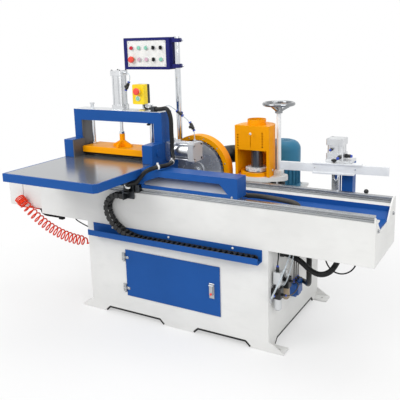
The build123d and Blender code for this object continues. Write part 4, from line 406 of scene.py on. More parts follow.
def plated(name, colour, roughness, zones=()):
    """Bright plating with faint smudges."""
    material, tree, shader = new_material(name)
    smudge = noise(tree, scale=26.0, detail=4.0)
    tone = mottled(tree, smudge, colour, dark=0.9, light=1.0)
    rough = spread(tree, smudge, roughness - 0.03, roughness + 0.08)
    lay_zones(tree, shader, tone, rough, 1.0, zones)
    relief(tree, shader, noise(tree, scale=160.0, detail=2.0), depth=0.00002, rounding=0.001)
    return material


def cast(name, colour, roughness, zones=(), metal=0.6):
    """Anodised or cast light metal with a satin grain."""
    material, tree, shader = new_material(name)
    grain = noise(tree, scale=260.0, detail=3.0)
    tone = mottled(tree, noise(tree, scale=8.0, detail=4.0), colour, dark=0.86, light=1.05)
    rough = spread(tree, grain, roughness - 0.06, roughness + 0.08)
    lay_zones(tree, shader, tone, rough, metal, zones)
    relief(tree, shader, grain, depth=0.00006, rounding=0.0012)
    return material


def moulded(name, colour, roughness, zones=(), grain=0.00005):
    """Moulded plastic with a fine spark grain and dulled patches."""
    material, tree, shader = new_material(name)
    patches = noise(tree, scale=18.0, detail=4.0)
    tone = mottled(tree, patches, colour, dark=0.88, light=1.08)
    rough = spread(tree, patches, roughness - 0.05, roughness + 0.1)
    lay_zones(tree, shader, tone, rough, 0.0, zones)
    relief(tree, shader, noise(tree, scale=700.0, detail=2.0), depth=grain, rounding=0.0008)
    return material


def rubber(name, colour, roughness, dusty=1.6):
    """Hose rubber or cable jacket, slightly dusty."""
    material, tree, shader = new_material(name)
    dust = noise(tree, scale=30.0, detail=5.0)
    settled = spread(tree, dust, 0.0, 1.0, start=0.45, stop=0.85)
    tone = mixed(tree, settled, colour, shade(colour, dusty))
    lay_zones(tree, shader, tone, spread(tree, dust, roughness - 0.08, roughness + 0.14), 0.0)
    shader.inputs["Specular IOR Level"].default_value = 0.25
    relief(tree, shader, noise(tree, scale=500.0, detail=2.0), depth=0.00005, rounding=0.0)
    return material


# Finishes of the machine


def white_enamel(name):
    return paint(name, colours().machine_white, 0.38)


def blue_enamel(name):
    return paint(name, colours().machine_blue, 0.33)


def panel_enamel(name):
    return paint(name, colours().panel_blue, 0.36)


def orange_enamel(name):
    return paint(name, colours().hood_orange, 0.34, wear=0.25)


def guard_enamel(name):
    return paint(name, colours().guard_orange, 0.36, wear=0.25)


def teal_enamel(name):
    return paint(name, colours().motor_teal, 0.36)


def press_plate_finish(name):
    """Orange plate with a black rubber pad below."""
    pad = Finish(colours().black, 0.6)
    return paint(name, colours().hood_orange, 0.34, [(pad, box_zone(z=(870, 893.4)))], wear=0.25)


def saw_motor_finish(name):
    """Grey motor on a white stand."""
    stand = Finish(colours().machine_white, 0.4)
    outside_motor = round_zone(BLADE_CENTRE, REAR, 86, 900)
    return paint(name, colours().motor_grey, 0.4, [(stand, outside_motor)])


def end_box_finish(name):
    """White box with a black pipe end below."""
    pipe = Finish(colours().black, 0.45)
    return paint(name, colours().machine_white, 0.38, [(pipe, box_zone(z=(400, 548.6)))])


def bed_finish(name):
    """White beam that is blue between its rails."""
    inside = Finish(colours().machine_blue, 0.34)
    between_rails = box_zone((-910, 1062), (-322, -20), (600, 739))
    return paint(name, colours().machine_white, 0.38, [(inside, between_rails)])


def gantry_finish(name):
    """Blue gantry with a bare light metal top."""
    top = Finish(colours().aluminium, 0.4, 0.8)
    return paint(name, colours().machine_blue, 0.33, [(top, box_zone(z=(1147.5, 1200)))])


def shaper_base_finish(name):
    """White carrier with a bright column, whose brighter white is a painted highlight that also outweighs
    the hood's orange bounce light.
    """
    # painted highlight: a lighter copy of the carrier's white paint on the column
    bright = Finish(linear(0xF6F7F7), 0.2)
    column = both(round_zone(COLUMN_FOOT, UP, 0, 24), box_zone(z=(800, 1200)))
    return paint(name, colours().machine_white, 0.38, [(bright, column)])


def aligner_post_finish(name):
    """Blue post with a light metal plate on top."""
    plate = Finish(colours().aluminium, 0.42, 0.8)
    return paint(name, colours().machine_blue, 0.33, [(plate, box_zone(z=(893, 1000)))])


def door_finish(name):
    """Blue door with a plated lock case and hinges."""
    plating = Finish(shade(colours().chrome, 0.65), 0.24, 1.0)
    lock_case = box_zone((225, 273), (-400, -372.8), (205, 345))
    knuckles = box_zone((-345, -300.4))
    leaves = box_zone((-345, -270), (-400, -372.8))
    zones = [(plating, zone) for zone in (lock_case, knuckles, leaves)]
    return paint(name, colours().machine_blue, 0.33, zones)


def lock_finish(name):
    """Plated swing handle with a red button."""
    button = Finish(colours().stop_red, 0.3)
    front = box_mm("door_lock")[0].y
    tip = box_zone(y=(front - 1, front + 2.9))
    return plated(name, shade(colours().chrome, 0.7), 0.28, [(button, tip)])


def station_finish(name):
    """Yellow cover with white rings, on a black back and a steel bracket."""
    back = Finish(colours().black, 0.42)
    bracket = Finish(colours().steel, 0.35, 1.0)
    ring = Finish(colours().clip_white, 0.35)
    ring_depth = 6
    cover_front = box_mm("estop_box")[0].y + ring_depth
    zones = [
        (back, box_zone(y=(-84, -60))),
        (bracket, box_zone(y=(-60, 40))),
        (ring, box_zone(y=(cover_front - 10, cover_front - 0.3))),
    ]
    return moulded(name, colours().station_yellow, 0.3, zones)


def table_steel(name):
    """Ground table plate with a brighter chute of polished steel, its pale half diffuse colour partly a
    painted reflection that keeps the chute bright in its shade.
    """
    # partly painted reflection: pale colour and low metal keep the shaded chute bright
    bright = Finish(linear(0xECEEF0), 0.18, 0.45)
    zones = [(bright, box_zone(x=(-179, 400)))]
    grain = (1.0, 26.0, 1.0)
    return ground(name, shade(colours().steel, 0.9), 0.2, grain, zones, edge=0.002, metal=0.75, marks=0.1)


def rail_steel(name):
    return ground(name, shade(colours().steel, 0.85), 0.26, (0.4, 40.0, 40.0))


def blade_steel(name):
    """Blade lightened and half diffuse as a painted sheen for its streaked reflections, with plain steel
    teeth.
    """
    tip = Finish(colours().steel, 0.25, 1.0)
    zones = [(tip, round_zone(BLADE_CENTRE, REAR, 160, 190))]
    # painted sheen: the body's light, half metallic steel stands in for its streaked reflections
    return ground(name, shade(colours().steel, 1.7), 0.26, (3.0, 3.0, 3.0), zones, metal=0.5, marks=0.2)


def turned_steel(name):
    return ground(name, colours().steel, 0.22, (12.0, 12.0, 60.0))


def black_steel(name):
    return ground(name, colours().dark_steel, 0.34, (10.0, 10.0, 40.0))


def plate_steel(name):
    """Blackened plates with a worn one at the left."""
    worn = Finish(linear(0x626467), 0.42, 0.6)
    zones = [(worn, box_zone(x=(-830, -600)))]
    return ground(name, colours().dark_steel, 0.34, (10.0, 10.0, 40.0), zones)


def cutter_steel(name):
    # painted highlight: near-white, barely metallic steel keeps the cutter bright in the hood's shade
    return ground(name, shade(colours().steel, 1.9), 0.3, (12.0, 12.0, 40.0), metal=0.1)


def spindle_finish(name):
    return ground(name, shade(colours().dark_steel, 2.4), 0.2, (8.0, 8.0, 60.0), metal=0.7)


def chrome_plate(name):
    return plated(name, colours().chrome, 0.09)


def wheel_chrome(name):
    return plated(name, shade(colours().chrome, 0.42), 0.07)


def cylinder_alloy(name):
    return cast(name, colours().aluminium, 0.3, metal=0.9)


def side_cylinder_finish(name):
    """Bright barrel with a dull end cap."""
    cap = Finish(shade(colours().aluminium, 0.8), 0.55, 0.15)
    return cast(name, colours().aluminium, 0.3, [(cap, box_zone(x=(-36, 8)))], metal=0.9)


def bar_alloy(name):
    """Pale bar with a chromed rod."""
    chromed = Finish(colours().chrome, 0.1, 1.0)
    rod = both(round_zone(ALIGNER_ROD_FOOT, UP, 0, 26), box_zone(z=(400, 835)))
    return cast(name, shade(colours().aluminium, 1.25), 0.36, [(chromed, rod)], metal=0.25)


def air_unit_finish(name):
    """Light metal bodies with black knobs, a smoky bowl and a blue valve box."""
    black = Finish(colours().black, 0.4)
    bowl = Finish(linear(0x9C8B72), 0.25)
    blue = Finish(colours().machine_blue, 0.36)
    zones = [
        (black, both(box_zone(y=(-350, -290)), box_zone(z=(280, 334)))),
        (black, box_zone(y=(-240, -180), z=(296, 350))),
        (bowl, box_zone((570, 640), (-236, -188), (200, 296))),
        (blue, box_zone(y=(-90, 20), z=(180, 260))),
    ]
    return cast(name, shade(colours().aluminium, 0.95), 0.38, zones)


def black_rubber(name):
    return rubber(name, colours().black, 0.36)


def grey_rubber(name):
    return rubber(name, linear(0x47443E), 0.4)


def cable_jacket(name):
    return rubber(name, shade(colours().black, 0.9), 0.42)


def red_tube(name):
    return rubber(name, colours().hose_red, 0.3, 1.1)


def air_tube(name):
    """Half clear polyurethane tube."""
    material, tree, shader = new_material(name)
    cloud = noise(tree, scale=40.0, detail=3.0)
    tone = mottled(tree, cloud, linear(0xD9E2E8), dark=0.9, light=1.0)
    lay_zones(tree, shader, tone, spread(tree, cloud, 0.12, 0.25), 0.0)
    shader.inputs["Transmission Weight"].default_value = 0.35
    shader.inputs["IOR"].default_value = 1.45
    relief(tree, shader, cloud, depth=0.00003, rounding=0.0)
    return material


def black_moulding(name):
    return moulded(name, colours().black, 0.38)


def chain_nylon(name):
    return moulded(name, shade(colours().black, 1.15), 0.42, grain=0.0001)


def red_moulding(name):
    return moulded(name, colours().stop_red, 0.28)


def pink_lens(name):
    return moulded(name, colours().lens_pink, 0.2)


def green_lens(name):
    return moulded(name, colours().lens_green, 0.2)


def face_moulding(name):
    """White face plate with grey bezels, the red pilot lamp and the stop button's yellow collar."""
    bezel = Finish(colours().aluminium, 0.3)
    lamp_lens = Finish(colours().lamp_red, 0.22)
    collar_yellow = Finish(linear(0x8E8A1E), 0.45)
    stop = centre_of("panel_stop_mushroom")
    top_row = centre_of("panel_green_button_left").z
    proud = box_zone(y=(100, 163.4))
    zones = [
        (bezel, proud),
        (lamp_lens, both(round_zone((stop.x, 0, top_row), REAR, 0, 11.3), proud)),
        (collar_yellow, round_zone(stop, REAR, 0, 15.0)),
    ]
    return moulded(name, colours().face_white, 0.4, zones)


def blue_ring(name):
    return moulded(name, colours().ring_blue, 0.35)


def white_clip(name):
    return moulded(name, colours().clip_white, 0.4)


def zinc_screw(name):
    return plated(name, shade(colours().chrome, 0.6), 0.24)


def black_screw(name):
    return ground(name, shade(colours().dark_steel, 0.4), 0.4, (30.0, 30.0, 30.0))


made = {}


def finish(make):
    """The material of a finish, made once and named for it."""
    if make not in made:
        made[make] = make(make.__name__)
    return made[make]


NODE_FINISHES = {
    white_enamel: ("base_cabinet",),
    shaper_base_finish: ("shaper_base",),
    bed_finish: ("bed_beam",),
    blue_enamel: ("chain_tray", "bed_trough", "table_frame", "carriage_arm"),
    gantry_finish: ("gantry",),
    aligner_post_finish: ("aligner_post",),
    panel_enamel: ("panel_box",),
    orange_enamel: ("shaper_hood",),
    guard_enamel: ("saw_hood",),
    teal_enamel: ("spindle_motor",),
    press_plate_finish: ("press_plate",),
    saw_motor_finish: ("saw_motor",),
    end_box_finish: ("end_box",),
    door_finish: ("door_panel",),
    station_finish: ("estop_box",),
    table_steel: ("table_top",),
    rail_steel: ("guide_rails",),
    blade_steel: ("saw_blade",),
    turned_steel: ("side_pusher", "spindle_quill"),
    cutter_steel: ("cutter_head",),
    black_steel: ("carriage_blocks", "motor_pulley"),
    plate_steel: ("carriage_plates",),
    spindle_finish: ("spindle_shaft",),
    chrome_plate: ("panel_pole", "feed_rod", "press_rods"),
    zinc_screw: ("door_hinges",),
    wheel_chrome: ("handwheel",),
    cylinder_alloy: ("feed_cylinder", "aligner_cylinder", "press_cylinder"),
    side_cylinder_finish: ("side_cylinder",),
    bar_alloy: ("aligner_bar",),
    lock_finish: ("door_lock",),
    air_unit_finish: ("air_unit",),
    black_rubber: ("saw_duct", "drive_belt", "machine_hoses", "carriage_conduit"),
    red_tube: ("coil_hose",),
    chain_nylon: ("drag_chain",),
    black_moulding: (
        "panel_selector_left",
        "panel_selector_right",
        "panel_selector_lower",
        "main_switch",
        "index_knob",
    ),
    red_moulding: ("panel_stop_mushroom", "station_stop_mushroom"),
    pink_lens: ("panel_red_button_left", "panel_red_button_middle"),
    green_lens: (
        "panel_green_button_left",
        "panel_green_button_middle",
        "panel_green_button_right",
        "station_green_button",
    ),
    face_moulding: ("panel_face",),
}

class SHAPER_OT_finishes(Operator):
    """Gives every solid of the machine its paint, metal, plastic or rubber"""

    bl_idname = "shaper.finishes"
    bl_label = "Finishes"

    def execute(self, context):
        left = set(nodes)
        for make, members in NODE_FINISHES.items():
            for member in members:
                data = nodes[member].data
                data.materials.clear()
                data.materials.append(finish(make))
                left.discard(member)
        if left:
            raise RuntimeError(f"no finish for {sorted(left)}")
        return {"FINISHED"}


# Mesh building blocks

CREASE = math.radians(38)


def turned(mesh, profile, place, segments, material=0, hollow=False):
    """Adds a turned shape from (radius, height) pairs in millimetres, solid or closed as a hollow ring."""
    if not hollow:
        profile = [(0, profile[0][1]), *profile]
        if profile[-1][0] > 0:
            profile.append((0, profile[-1][1]))
    rings = []
    for radius, height in profile:
        turns = [360 * i / segments for i in range(segments if radius else 1)]
        rings.append([mesh.verts.new(place @ mm(*polar(radius, turn), height)) for turn in turns])
    steps = list(zip(rings, rings[1:]))
    if hollow:
        steps.append((rings[-1], rings[0]))
    for lower, upper in steps:
        for i in range(segments):
            j = (i + 1) % segments
            corners = [lower[k % len(lower)] for k in (i, j)] + [upper[k % len(upper)] for k in (j, i)]
            face = mesh.faces.new(list(dict.fromkeys(corners)))
            face.material_index = material
            face.smooth = True


def collar(mesh, place, radii, heights, segments, material=0):
    """Adds a plain ring between two radii and two heights, in millimetres."""
    inner, outer = radii
    low, high = heights
    profile = [(inner, low), (outer, low), (outer, high), (inner, high)]
    turned(mesh, profile, place, segments, material, hollow=True)


def slab(mesh, low, high, chamfer, place=Matrix()):
    """Adds a box between two corners with its edges broken, in millimetres."""
    start = mm(*low)
    size = mm(*high) - start
    verts = bmesh.ops.create_cube(mesh, size=1.0)["verts"]
    for vert in verts:
        vert.co = start + Vector((vert.co[i] + 0.5) * size[i] for i in range(3))
    edges = list(dict.fromkeys(edge for vert in verts for edge in vert.link_edges))
    broken = bmesh.ops.bevel(
        mesh, geom=edges, offset=chamfer / 1000, segments=2, profile=0.5, affect="EDGES"
    )
    for vert in broken["verts"]:
        vert.co = place @ vert.co


def facing(direction, point=(0, 0, 0)):
    """Place at a point with its Z axis along a direction."""
    turn = Vector(direction).to_track_quat("Z", "Y").to_matrix().to_4x4()
    return Matrix.Translation(point) @ turn


def shown(name, data):
    """An object of the scene."""
    new_object = bpy.data.objects.new(name, data)
    bpy.context.scene.collection.objects.link(new_object)
    return new_object


def crease(data):
    """Keeps sharp edges crisp where faces are smooth."""
    work = bmesh.new()
    work.from_mesh(data)
    for edge in work.edges:
        if len(edge.link_faces) == 2 and edge.calc_face_angle(0.0) > CREASE:
            edge.smooth = False
    work.to_mesh(data)
    work.free()


def from_mesh(name, mesh):
    """Turns a built mesh into an object."""
    bmesh.ops.recalc_face_normals(mesh, faces=mesh.faces)
    data = bpy.data.meshes.new(name)
    mesh.to_mesh(data)
    mesh.free()
    crease(data)
    return shown(name, data)


def piece(name, mesh, coats, body):
    """Turns a built mesh into a finished piece that rides on a body."""
    made_piece = from_mesh(name, mesh)
    for coat in coats:
        made_piece.data.materials.append(finish(coat))
    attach(made_piece, body)
    return made_piece


def small_part(name, *shapes):
    """A small part for the scatter from turned (segments, profile) shapes, taken away when it is set."""
    mesh = bmesh.new()
    for segments, profile in shapes:
        turned(mesh, profile, Matrix(), segments)
    return from_mesh(name, mesh)


def copies_tree(name, *inputs):
    """Node tree that sets coated copies of its Part on points, and its nodes that are left to link."""
    tree = bpy.data.node_groups.new(name, "GeometryNodeTree")
    for label, kind in (("Geometry", "Geometry"), ("Part", "Object"), ("Finish", "Material"), *inputs):
        tree.interface.new_socket(label, in_out="INPUT", socket_type="NodeSocket" + kind)
    tree.interface.new_socket("Geometry", in_out="OUTPUT", socket_type="NodeSocketGeometry")
    start = tree.nodes.new("NodeGroupInput")
    part = tree.nodes.new("GeometryNodeObjectInfo")
    turn = tree.nodes.new("FunctionNodeAlignRotationToVector")
    lay = tree.nodes.new("GeometryNodeInstanceOnPoints")
    real = tree.nodes.new("GeometryNodeRealizeInstances")
    coat = tree.nodes.new("GeometryNodeSetMaterial")
    end = tree.nodes.new("NodeGroupOutput")
    links = tree.links
    links.new(start.outputs["Part"], part.inputs["Object"])
    links.new(part.outputs["Geometry"], lay.inputs["Instance"])
    links.new(turn.outputs["Rotation"], lay.inputs["Rotation"])
    links.new(lay.outputs["Instances"], real.inputs["Geometry"])
    links.new(real.outputs["Geometry"], coat.inputs["Geometry"])
    links.new(start.outputs["Finish"], coat.inputs["Material"])
    links.new(coat.outputs["Geometry"], end.inputs["Geometry"])
    return tree, start, turn, lay


def named_attribute(tree, name, kind):
    """A value that each point carries."""
    node = tree.nodes.new("GeometryNodeInputNamedAttribute")
    node.data_type = kind
    node.inputs["Name"].default_value = name
    return node.outputs["Attribute"]


def scatter_tree():
    """Node tree that sets a part on every point, turned to the point's facing and scaled by its size."""
    name = "parts_on_points"
    if name in bpy.data.node_groups:
        return bpy.data.node_groups[name]
    tree, start, turn, lay = copies_tree(name)
    turn.axis = "Z"
    tree.links.new(start.outputs["Geometry"], lay.inputs["Points"])
    tree.links.new(named_attribute(tree, "facing", "FLOAT_VECTOR"), turn.inputs["Vector"])
    tree.links.new(named_attribute(tree, "size", "FLOAT"), lay.inputs["Scale"])
    return tree


def plain_mesh(target):
    """Mesh of an object as its curve or modifiers give it."""
    graph = bpy.context.evaluated_depsgraph_get()
    return bpy.data.meshes.new_from_object(target.evaluated_get(graph), depsgraph=graph)


def apply_tree(target, tree, values):
    """Runs a node tree on an object and gives the result as a plain mesh."""
    modifier = target.modifiers.new("made", "NODES")
    modifier.node_group = tree
    for item in tree.interface.items_tree:
        if item.in_out == "INPUT" and item.name in values:
            modifier[item.identifier] = values[item.name]
    result = plain_mesh(target)
    target.modifiers.clear()
    return result


def scatter(name, part, spots, body, coat, slot=None):
    """Sets copies of a small part on (point in millimetres, facing, size) spots as one piece on a body."""
    data = bpy.data.meshes.new(name)
    data.from_pydata([mm(*point) for point, _, _ in spots], [], [])
    ways = data.attributes.new("facing", "FLOAT_VECTOR", "POINT")
    for value, (_, way, _) in zip(ways.data, spots):
        value.vector = way
    scales = data.attributes.new("size", "FLOAT", "POINT")
    for value, (_, _, scale) in zip(scales.data, spots):
        value.value = scale
    target = shown(name, data)
    target.data = apply_tree(target, scatter_tree(), {"Part": part, "Finish": finish(coat)})
    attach(target, body)


def scatter_all(rows, parts):
    """Sets every row of small parts and takes the patterns away."""
    for row in rows:
        scatter(*row)
    for part in parts:
        bpy.data.objects.remove(part)


# Hoses and cables, as their routes in the solids, in millimetres

LOOP_HOSE = (
    (563, -205, 470), (604, -205, 470), (668, -207, 446), (716, -210, 406), (768, -209, 388),
    (816, -205, 408), (846, -202, 452), (862, -205, 496), (862, -205, 535),
)
DROP_HOSE = (
    (692, -150, 535), (692, -150, 496), (691, -146, 430), (684, -126, 346), (670, -86, 282),
    (646, -34, 248), (616, 22, 232), (588, 44, 228), (563, 44, 228),
)
BED_CABLE = (
    (800, -240, 535), (800, -240, 510), (812, -239, 466), (836, -237, 436), (872, -236, 424),
    (910, -237, 434), (942, -239, 462), (962, -240, 510), (962, -240, 535),
)
TROUGH_HOSE = (
    (320, -172, 686), (320, -172, 714), (342, -172, 734), (378, -171, 743), (438, -172, 744),
    (500, -173, 742), (560, -172, 738), (620, -171, 732), (650, -172, 713), (650, -172, 686),
)
LEFT_CABLE = (
    (-694, -330, 535), (-694, -330, 524), (-680, -329, 510), (-640, -327, 494), (-594, -325, 480),
    (-572, -325, 476), (-563, -325, 476),
)
CARRIAGE_CONDUIT = (
    (-244, -396, 752), (-244, -396, 772), (-231, -397, 792), (-204, -399, 801), (-173, -400, 811),
    (-150, -400, 838), (-122, -398, 869), (-90, -388, 888), (-60, -350, 894), (-52, -288, 889),
    (-66, -224, 888), (-96, -161, 893), (-120, -131, 932), (-119, -129, 990), (-121, -129, 1050),
    (-120, -128, 1106), (-130, -126, 1148), (-154, -122, 1174), (-190, -119, 1163), (-226, -119, 1163),
)
STATION_CABLE = (
    (-252, -119, 1163), (-272, -119, 1163), (-292, -111, 1161), (-307, -106, 1164),
    (-314, -104, 1171), (-316, -103, 1179), (-316, -103, 1187),
)
PRESS_AIR_LINE = (
    (-442.5, -88, 1362), (-432.5, -88, 1362), (-419.5, -89, 1353), (-414.5, -91, 1334),
    (-420.5, -95, 1310), (-432.5, -99, 1284), (-442.5, -100, 1256), (-448.5, -96, 1224),
    (-446.5, -90, 1198), (-446.5, -88, 1180),
)
SIDE_AIR_LINE = (
    (-14, -57, 994), (-14, -57, 1016), (-17, -59, 1046), (-32, -61, 1078), (-58, -65, 1108),
    (-90, -69, 1132), (-122, -72, 1156), (-146, -74, 1172), (-168, -75, 1182), (-190, -75, 1176),
    (-198, -75, 1158), (-199, -75, 1149),
)
SUPPLY_LINE = (
    (592, -320, 444), (592, -320, 460), (595, -318, 486), (595, -316, 512), (592, -316, 535),
)
REGULATOR_LINE = (
    (636, -320, 300), (648, -320, 301), (664, -308, 306), (670, -284, 312), (670, -248, 319),
    (664, -224, 326), (648, -212, 330), (636, -212, 330),
)
FILTER_LINE = (
    (592, -366, 307), (592, -390, 307), (598, -420, 314), (614, -432, 344), (630, -412, 388),
    (638, -368, 432), (640, -316, 468), (640, -276, 500), (640, -262, 520), (640, -262, 535),
)
OUTLET_LINE = (
    (592, -254, 323), (592, -266, 323), (600, -286, 328), (620, -294, 346), (634, -288, 382),
    (641, -264, 432), (643, -238, 482), (642, -222, 518), (642, -220, 535),
)


def valve_route(index, y):
    """One of the three lines from the valve box up to the bed."""
    reach = VALVE_X + 8 + 3 * index
    return (
        (VALVE_X, y, 276),
        (VALVE_X, y, 300),
        (VALVE_X + 2, y - 4, 350),
        (reach, y - 14, 410),
        (reach + 2, y - 24, 470),
        (reach, y - 28, 515),
        (reach, y - 28, 535),
    )


def coil_route():
    """Centre line of the coiled hose: a curl that sags to the end box, its spare turns close together."""
    start = Vector((-612, -332, 392))
    low = Vector((-850, -368, 392))
    end = Vector((-1066, -368, 576))
    curls = 17
    spare = 5
    per_turn = 14
    close_pitch = 10.5
    full_radius = 27.6
    first_share = 0.55
    opening_turns = 1.5
    look_ahead = 0.05

    def axis_at(turn):
        share = min(turn / curls, 1.0)
        point = start * (1 - share) ** 2 + low * (2 * share * (1 - share)) + end * share**2
        return point + (end - low).normalized() * (max(turn - curls, 0.0) * close_pitch)

    points = [(-563, -325, 392), (-573, -325, 392)]
    for i in range((curls + spare) * per_turn + 1):
        turn = i / per_turn
        ahead = (axis_at(turn + look_ahead) - axis_at(turn)).normalized()
        up = ahead.cross(REAR).normalized()
        side = up.cross(ahead).normalized()
        opened = min(turn / opening_turns, 1.0)
        rise, reach = polar(full_radius * (first_share + (1 - first_share) * opened), 360 * turn)
        points.append(axis_at(turn) + up * rise + side * reach)
    points += [(-1138, -354, 557), (-1118, -318, 536)]
    points += [(-1100, -308, 536), (-1002, -308, 536), (-992, -308, 536)]
    return points


def route_curve(name, route, diameter=0.0):
    """A smooth curve along a route, thick where it has a diameter."""
    data = bpy.data.curves.new(name, "CURVE")
    data.dimensions = "3D"
    data.resolution_u = 6
    data.bevel_depth = diameter / 2
    data.bevel_resolution = 5
    data.use_fill_caps = True
    spline = data.splines.new("NURBS")
    spline.points.add(len(route) - 1)
    for point, place in zip(spline.points, route):
        point.co = (*mm(*place), 1.0)
    spline.order_u = 3
    spline.use_endpoint_u = True
    return shown(name, data)


def on_route(route, share):
    """Place at a share of a route's own curve, with its Z axis along the run."""
    curve = route_curve("centre_line", route)
    points = [vert.co.copy() for vert in plain_mesh(curve).vertices]
    bpy.data.objects.remove(curve)
    runs = list(zip(points, points[1:]))
    left = share * sum((after - before).length for before, after in runs)
    for before, after in runs:
        left -= (after - before).length
        if left <= 0:
            return facing(after - before, after)
    raise RuntimeError("the share is past the route's end")


def flow_regulator(name, place):
    """Black flow regulator on an air line: body, setting knob and a blue release ring at each end."""
    mesh = bmesh.new()
    body = [(6.6, -26), (6.6, -17), (10, -15), (10, 15), (6.6, 17), (6.6, 26)]
    knob = [(5, 6), (5, 17), (8.2, 18), (8.2, 29), (7, 31)]
    turned(mesh, body, place, segments=18)
    turned(mesh, knob, place @ facing(RIGHT), segments=14)
    for low in (-28.5, 22.5):
        collar(mesh, place, (6.2, 8.4), (low, low + 6), segments=18, material=1)
    return piece(name, mesh, (black_moulding, blue_ring), "carriage")


def tee_fitting(name, place):
    """Black tee on an air line, its third port closed by a plug, with a blue release ring at each port."""
    mesh = bmesh.new()
    run = [(7.5, -22), (8.2, 0), (7.5, 22)]
    branch = [(7.5, 0), (7.5, 22), (4, 24)]
    turned(mesh, run, place, segments=18)
    turned(mesh, branch, place @ facing(LEFT), segments=14)
    for port in (UP, DOWN, LEFT):
        collar(mesh, place @ facing(port), (7, 9), (18.5, 24), segments=18, material=1)
    return piece(name, mesh, (black_moulding, blue_ring), "carriage")


def conduit_clips():
    """White clips round the carriage's conduit, each with its screw lug."""
    radius = CONDUIT_DIAMETER * 500
    thickness = 2.2
    half_width = 5
    lug_low = (-4, radius, -half_width)
    lug_high = (4, radius + 11, half_width)
    clips = []
    for i, share in enumerate((0.03, 0.30, 0.48)):
        place = on_route(CARRIAGE_CONDUIT, share)
        mesh = bmesh.new()
        collar(mesh, place, (radius, radius + thickness), (-half_width, half_width), segments=24)
        slab(mesh, lug_low, lug_high, chamfer=1, place=place)
        clips.append(piece(f"conduit_clip_{i}", mesh, (white_clip,), "carriage"))
    return clips


def press_line_fittings():
    """Regulator on the press cylinder's line."""
    return [flow_regulator("press_regulator", on_route(PRESS_AIR_LINE, 0.46))]


def side_line_fittings():
    """Regulator and tee on the side cylinder's line."""
    return [
        flow_regulator("side_regulator", on_route(SIDE_AIR_LINE, 0.24)),
        tee_fitting("side_tee", on_route(SIDE_AIR_LINE, 0.56)),
    ]


ON_CARRIAGE = {"node": "carriage_conduit", "body": "carriage"}


class Hose(NamedTuple):
    """A hose or cable: its route, real length, the solid it stands for and how it lies."""

    name: str
    route: tuple
    diameter: float
    coat: Callable
    real_length: float
    node: str = None
    lay: str = "loose"
    stiffness: str = "stiff"
    body: str = "machine"
    fittings: Callable = list


def lay_hose(row):
    on_it = row.fittings()
    made_hose = route_curve(row.name, row.route, row.diameter)
    made_hose.data.materials.append(finish(row.coat))
    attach(made_hose, row.body)
    if row.node:
        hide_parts(row.node)


def hose_rows():
    """Hoses, cables and lines in the order in which they are laid."""
    wide = sizes().hose_diameter
    cable = CABLE_DIAMETER
    thin = UNIT_LINE_DIAMETER
    hanging = ("machine_hoses", "hanging", "medium")
    rows = [
        Hose("loop_hose", LOOP_HOSE, wide, black_rubber, 0.413, *hanging),
        Hose("drop_hose", DROP_HOSE, wide, black_rubber, 0.458, *hanging),
        Hose("bed_cable", BED_CABLE, cable, cable_jacket, 0.302, *hanging),
        Hose("trough_hose", TROUGH_HOSE, TROUGH_HOSE_DIAMETER, grey_rubber, 0.395, "machine_hoses"),
        Hose("left_cable", LEFT_CABLE, cable, cable_jacket, 0.153, *hanging),
        Hose("red_coil", coil_route(), AIR_HOSE_DIAMETER, red_tube, 4.007, "coil_hose", "coiled"),
        Hose(
            "carriage_hose", CARRIAGE_CONDUIT, CONDUIT_DIAMETER, black_rubber, 0.834,
            fittings=conduit_clips, **ON_CARRIAGE,
        ),
        Hose(
            "station_cable", STATION_CABLE, STATION_CABLE_DIAMETER, cable_jacket, 0.083,
            stiffness="medium", **ON_CARRIAGE,
        ),
        Hose("supply_line", SUPPLY_LINE, thin, cable_jacket, 0.091),
        Hose("regulator_line", REGULATOR_LINE, thin, grey_rubber, 0.149),
        Hose("filter_line", FILTER_LINE, AIR_HOSE_DIAMETER, air_tube, 0.352),
        Hose("outlet_line", OUTLET_LINE, thin, air_tube, 0.266),
    ]
    for i, y in enumerate(VALVE_ROWS):
        rows.append(Hose(f"valve_line_{i}", valve_route(i, y), thin, grey_rubber, 0.262))
    return rows


def air_line_rows():
    """Thin air lines of the two clamping cylinders."""
    thin = sizes().air_line_diameter
    return [
        Hose(
            "press_air_line", PRESS_AIR_LINE, thin, air_tube, 0.205,
            fittings=press_line_fittings, **ON_CARRIAGE,
        ),
        Hose(
            "side_air_line", SIDE_AIR_LINE, thin, air_tube, 0.310,
            fittings=side_line_fittings, **ON_CARRIAGE,
        ),
    ]


class SHAPER_OT_hoses(Operator):
    """Makes the cable hoses, cables, air unit's lines and the red coiled air hose"""

    bl_idname = "shaper.hoses"
    bl_label = "Hoses and cables"

    def execute(self, context):
        for row in hose_rows():
            lay_hose(row)
        return {"FINISHED"}


class SHAPER_OT_air_lines(Operator):
    """Makes the thin air lines of the two clamping cylinders with their regulators and tee"""

    bl_idname = "shaper.air_lines"
    bl_label = "Air lines"

    def execute(self, context):
        for row in air_line_rows():
            lay_hose(row)
        return {"FINISHED"}


# Cable chain


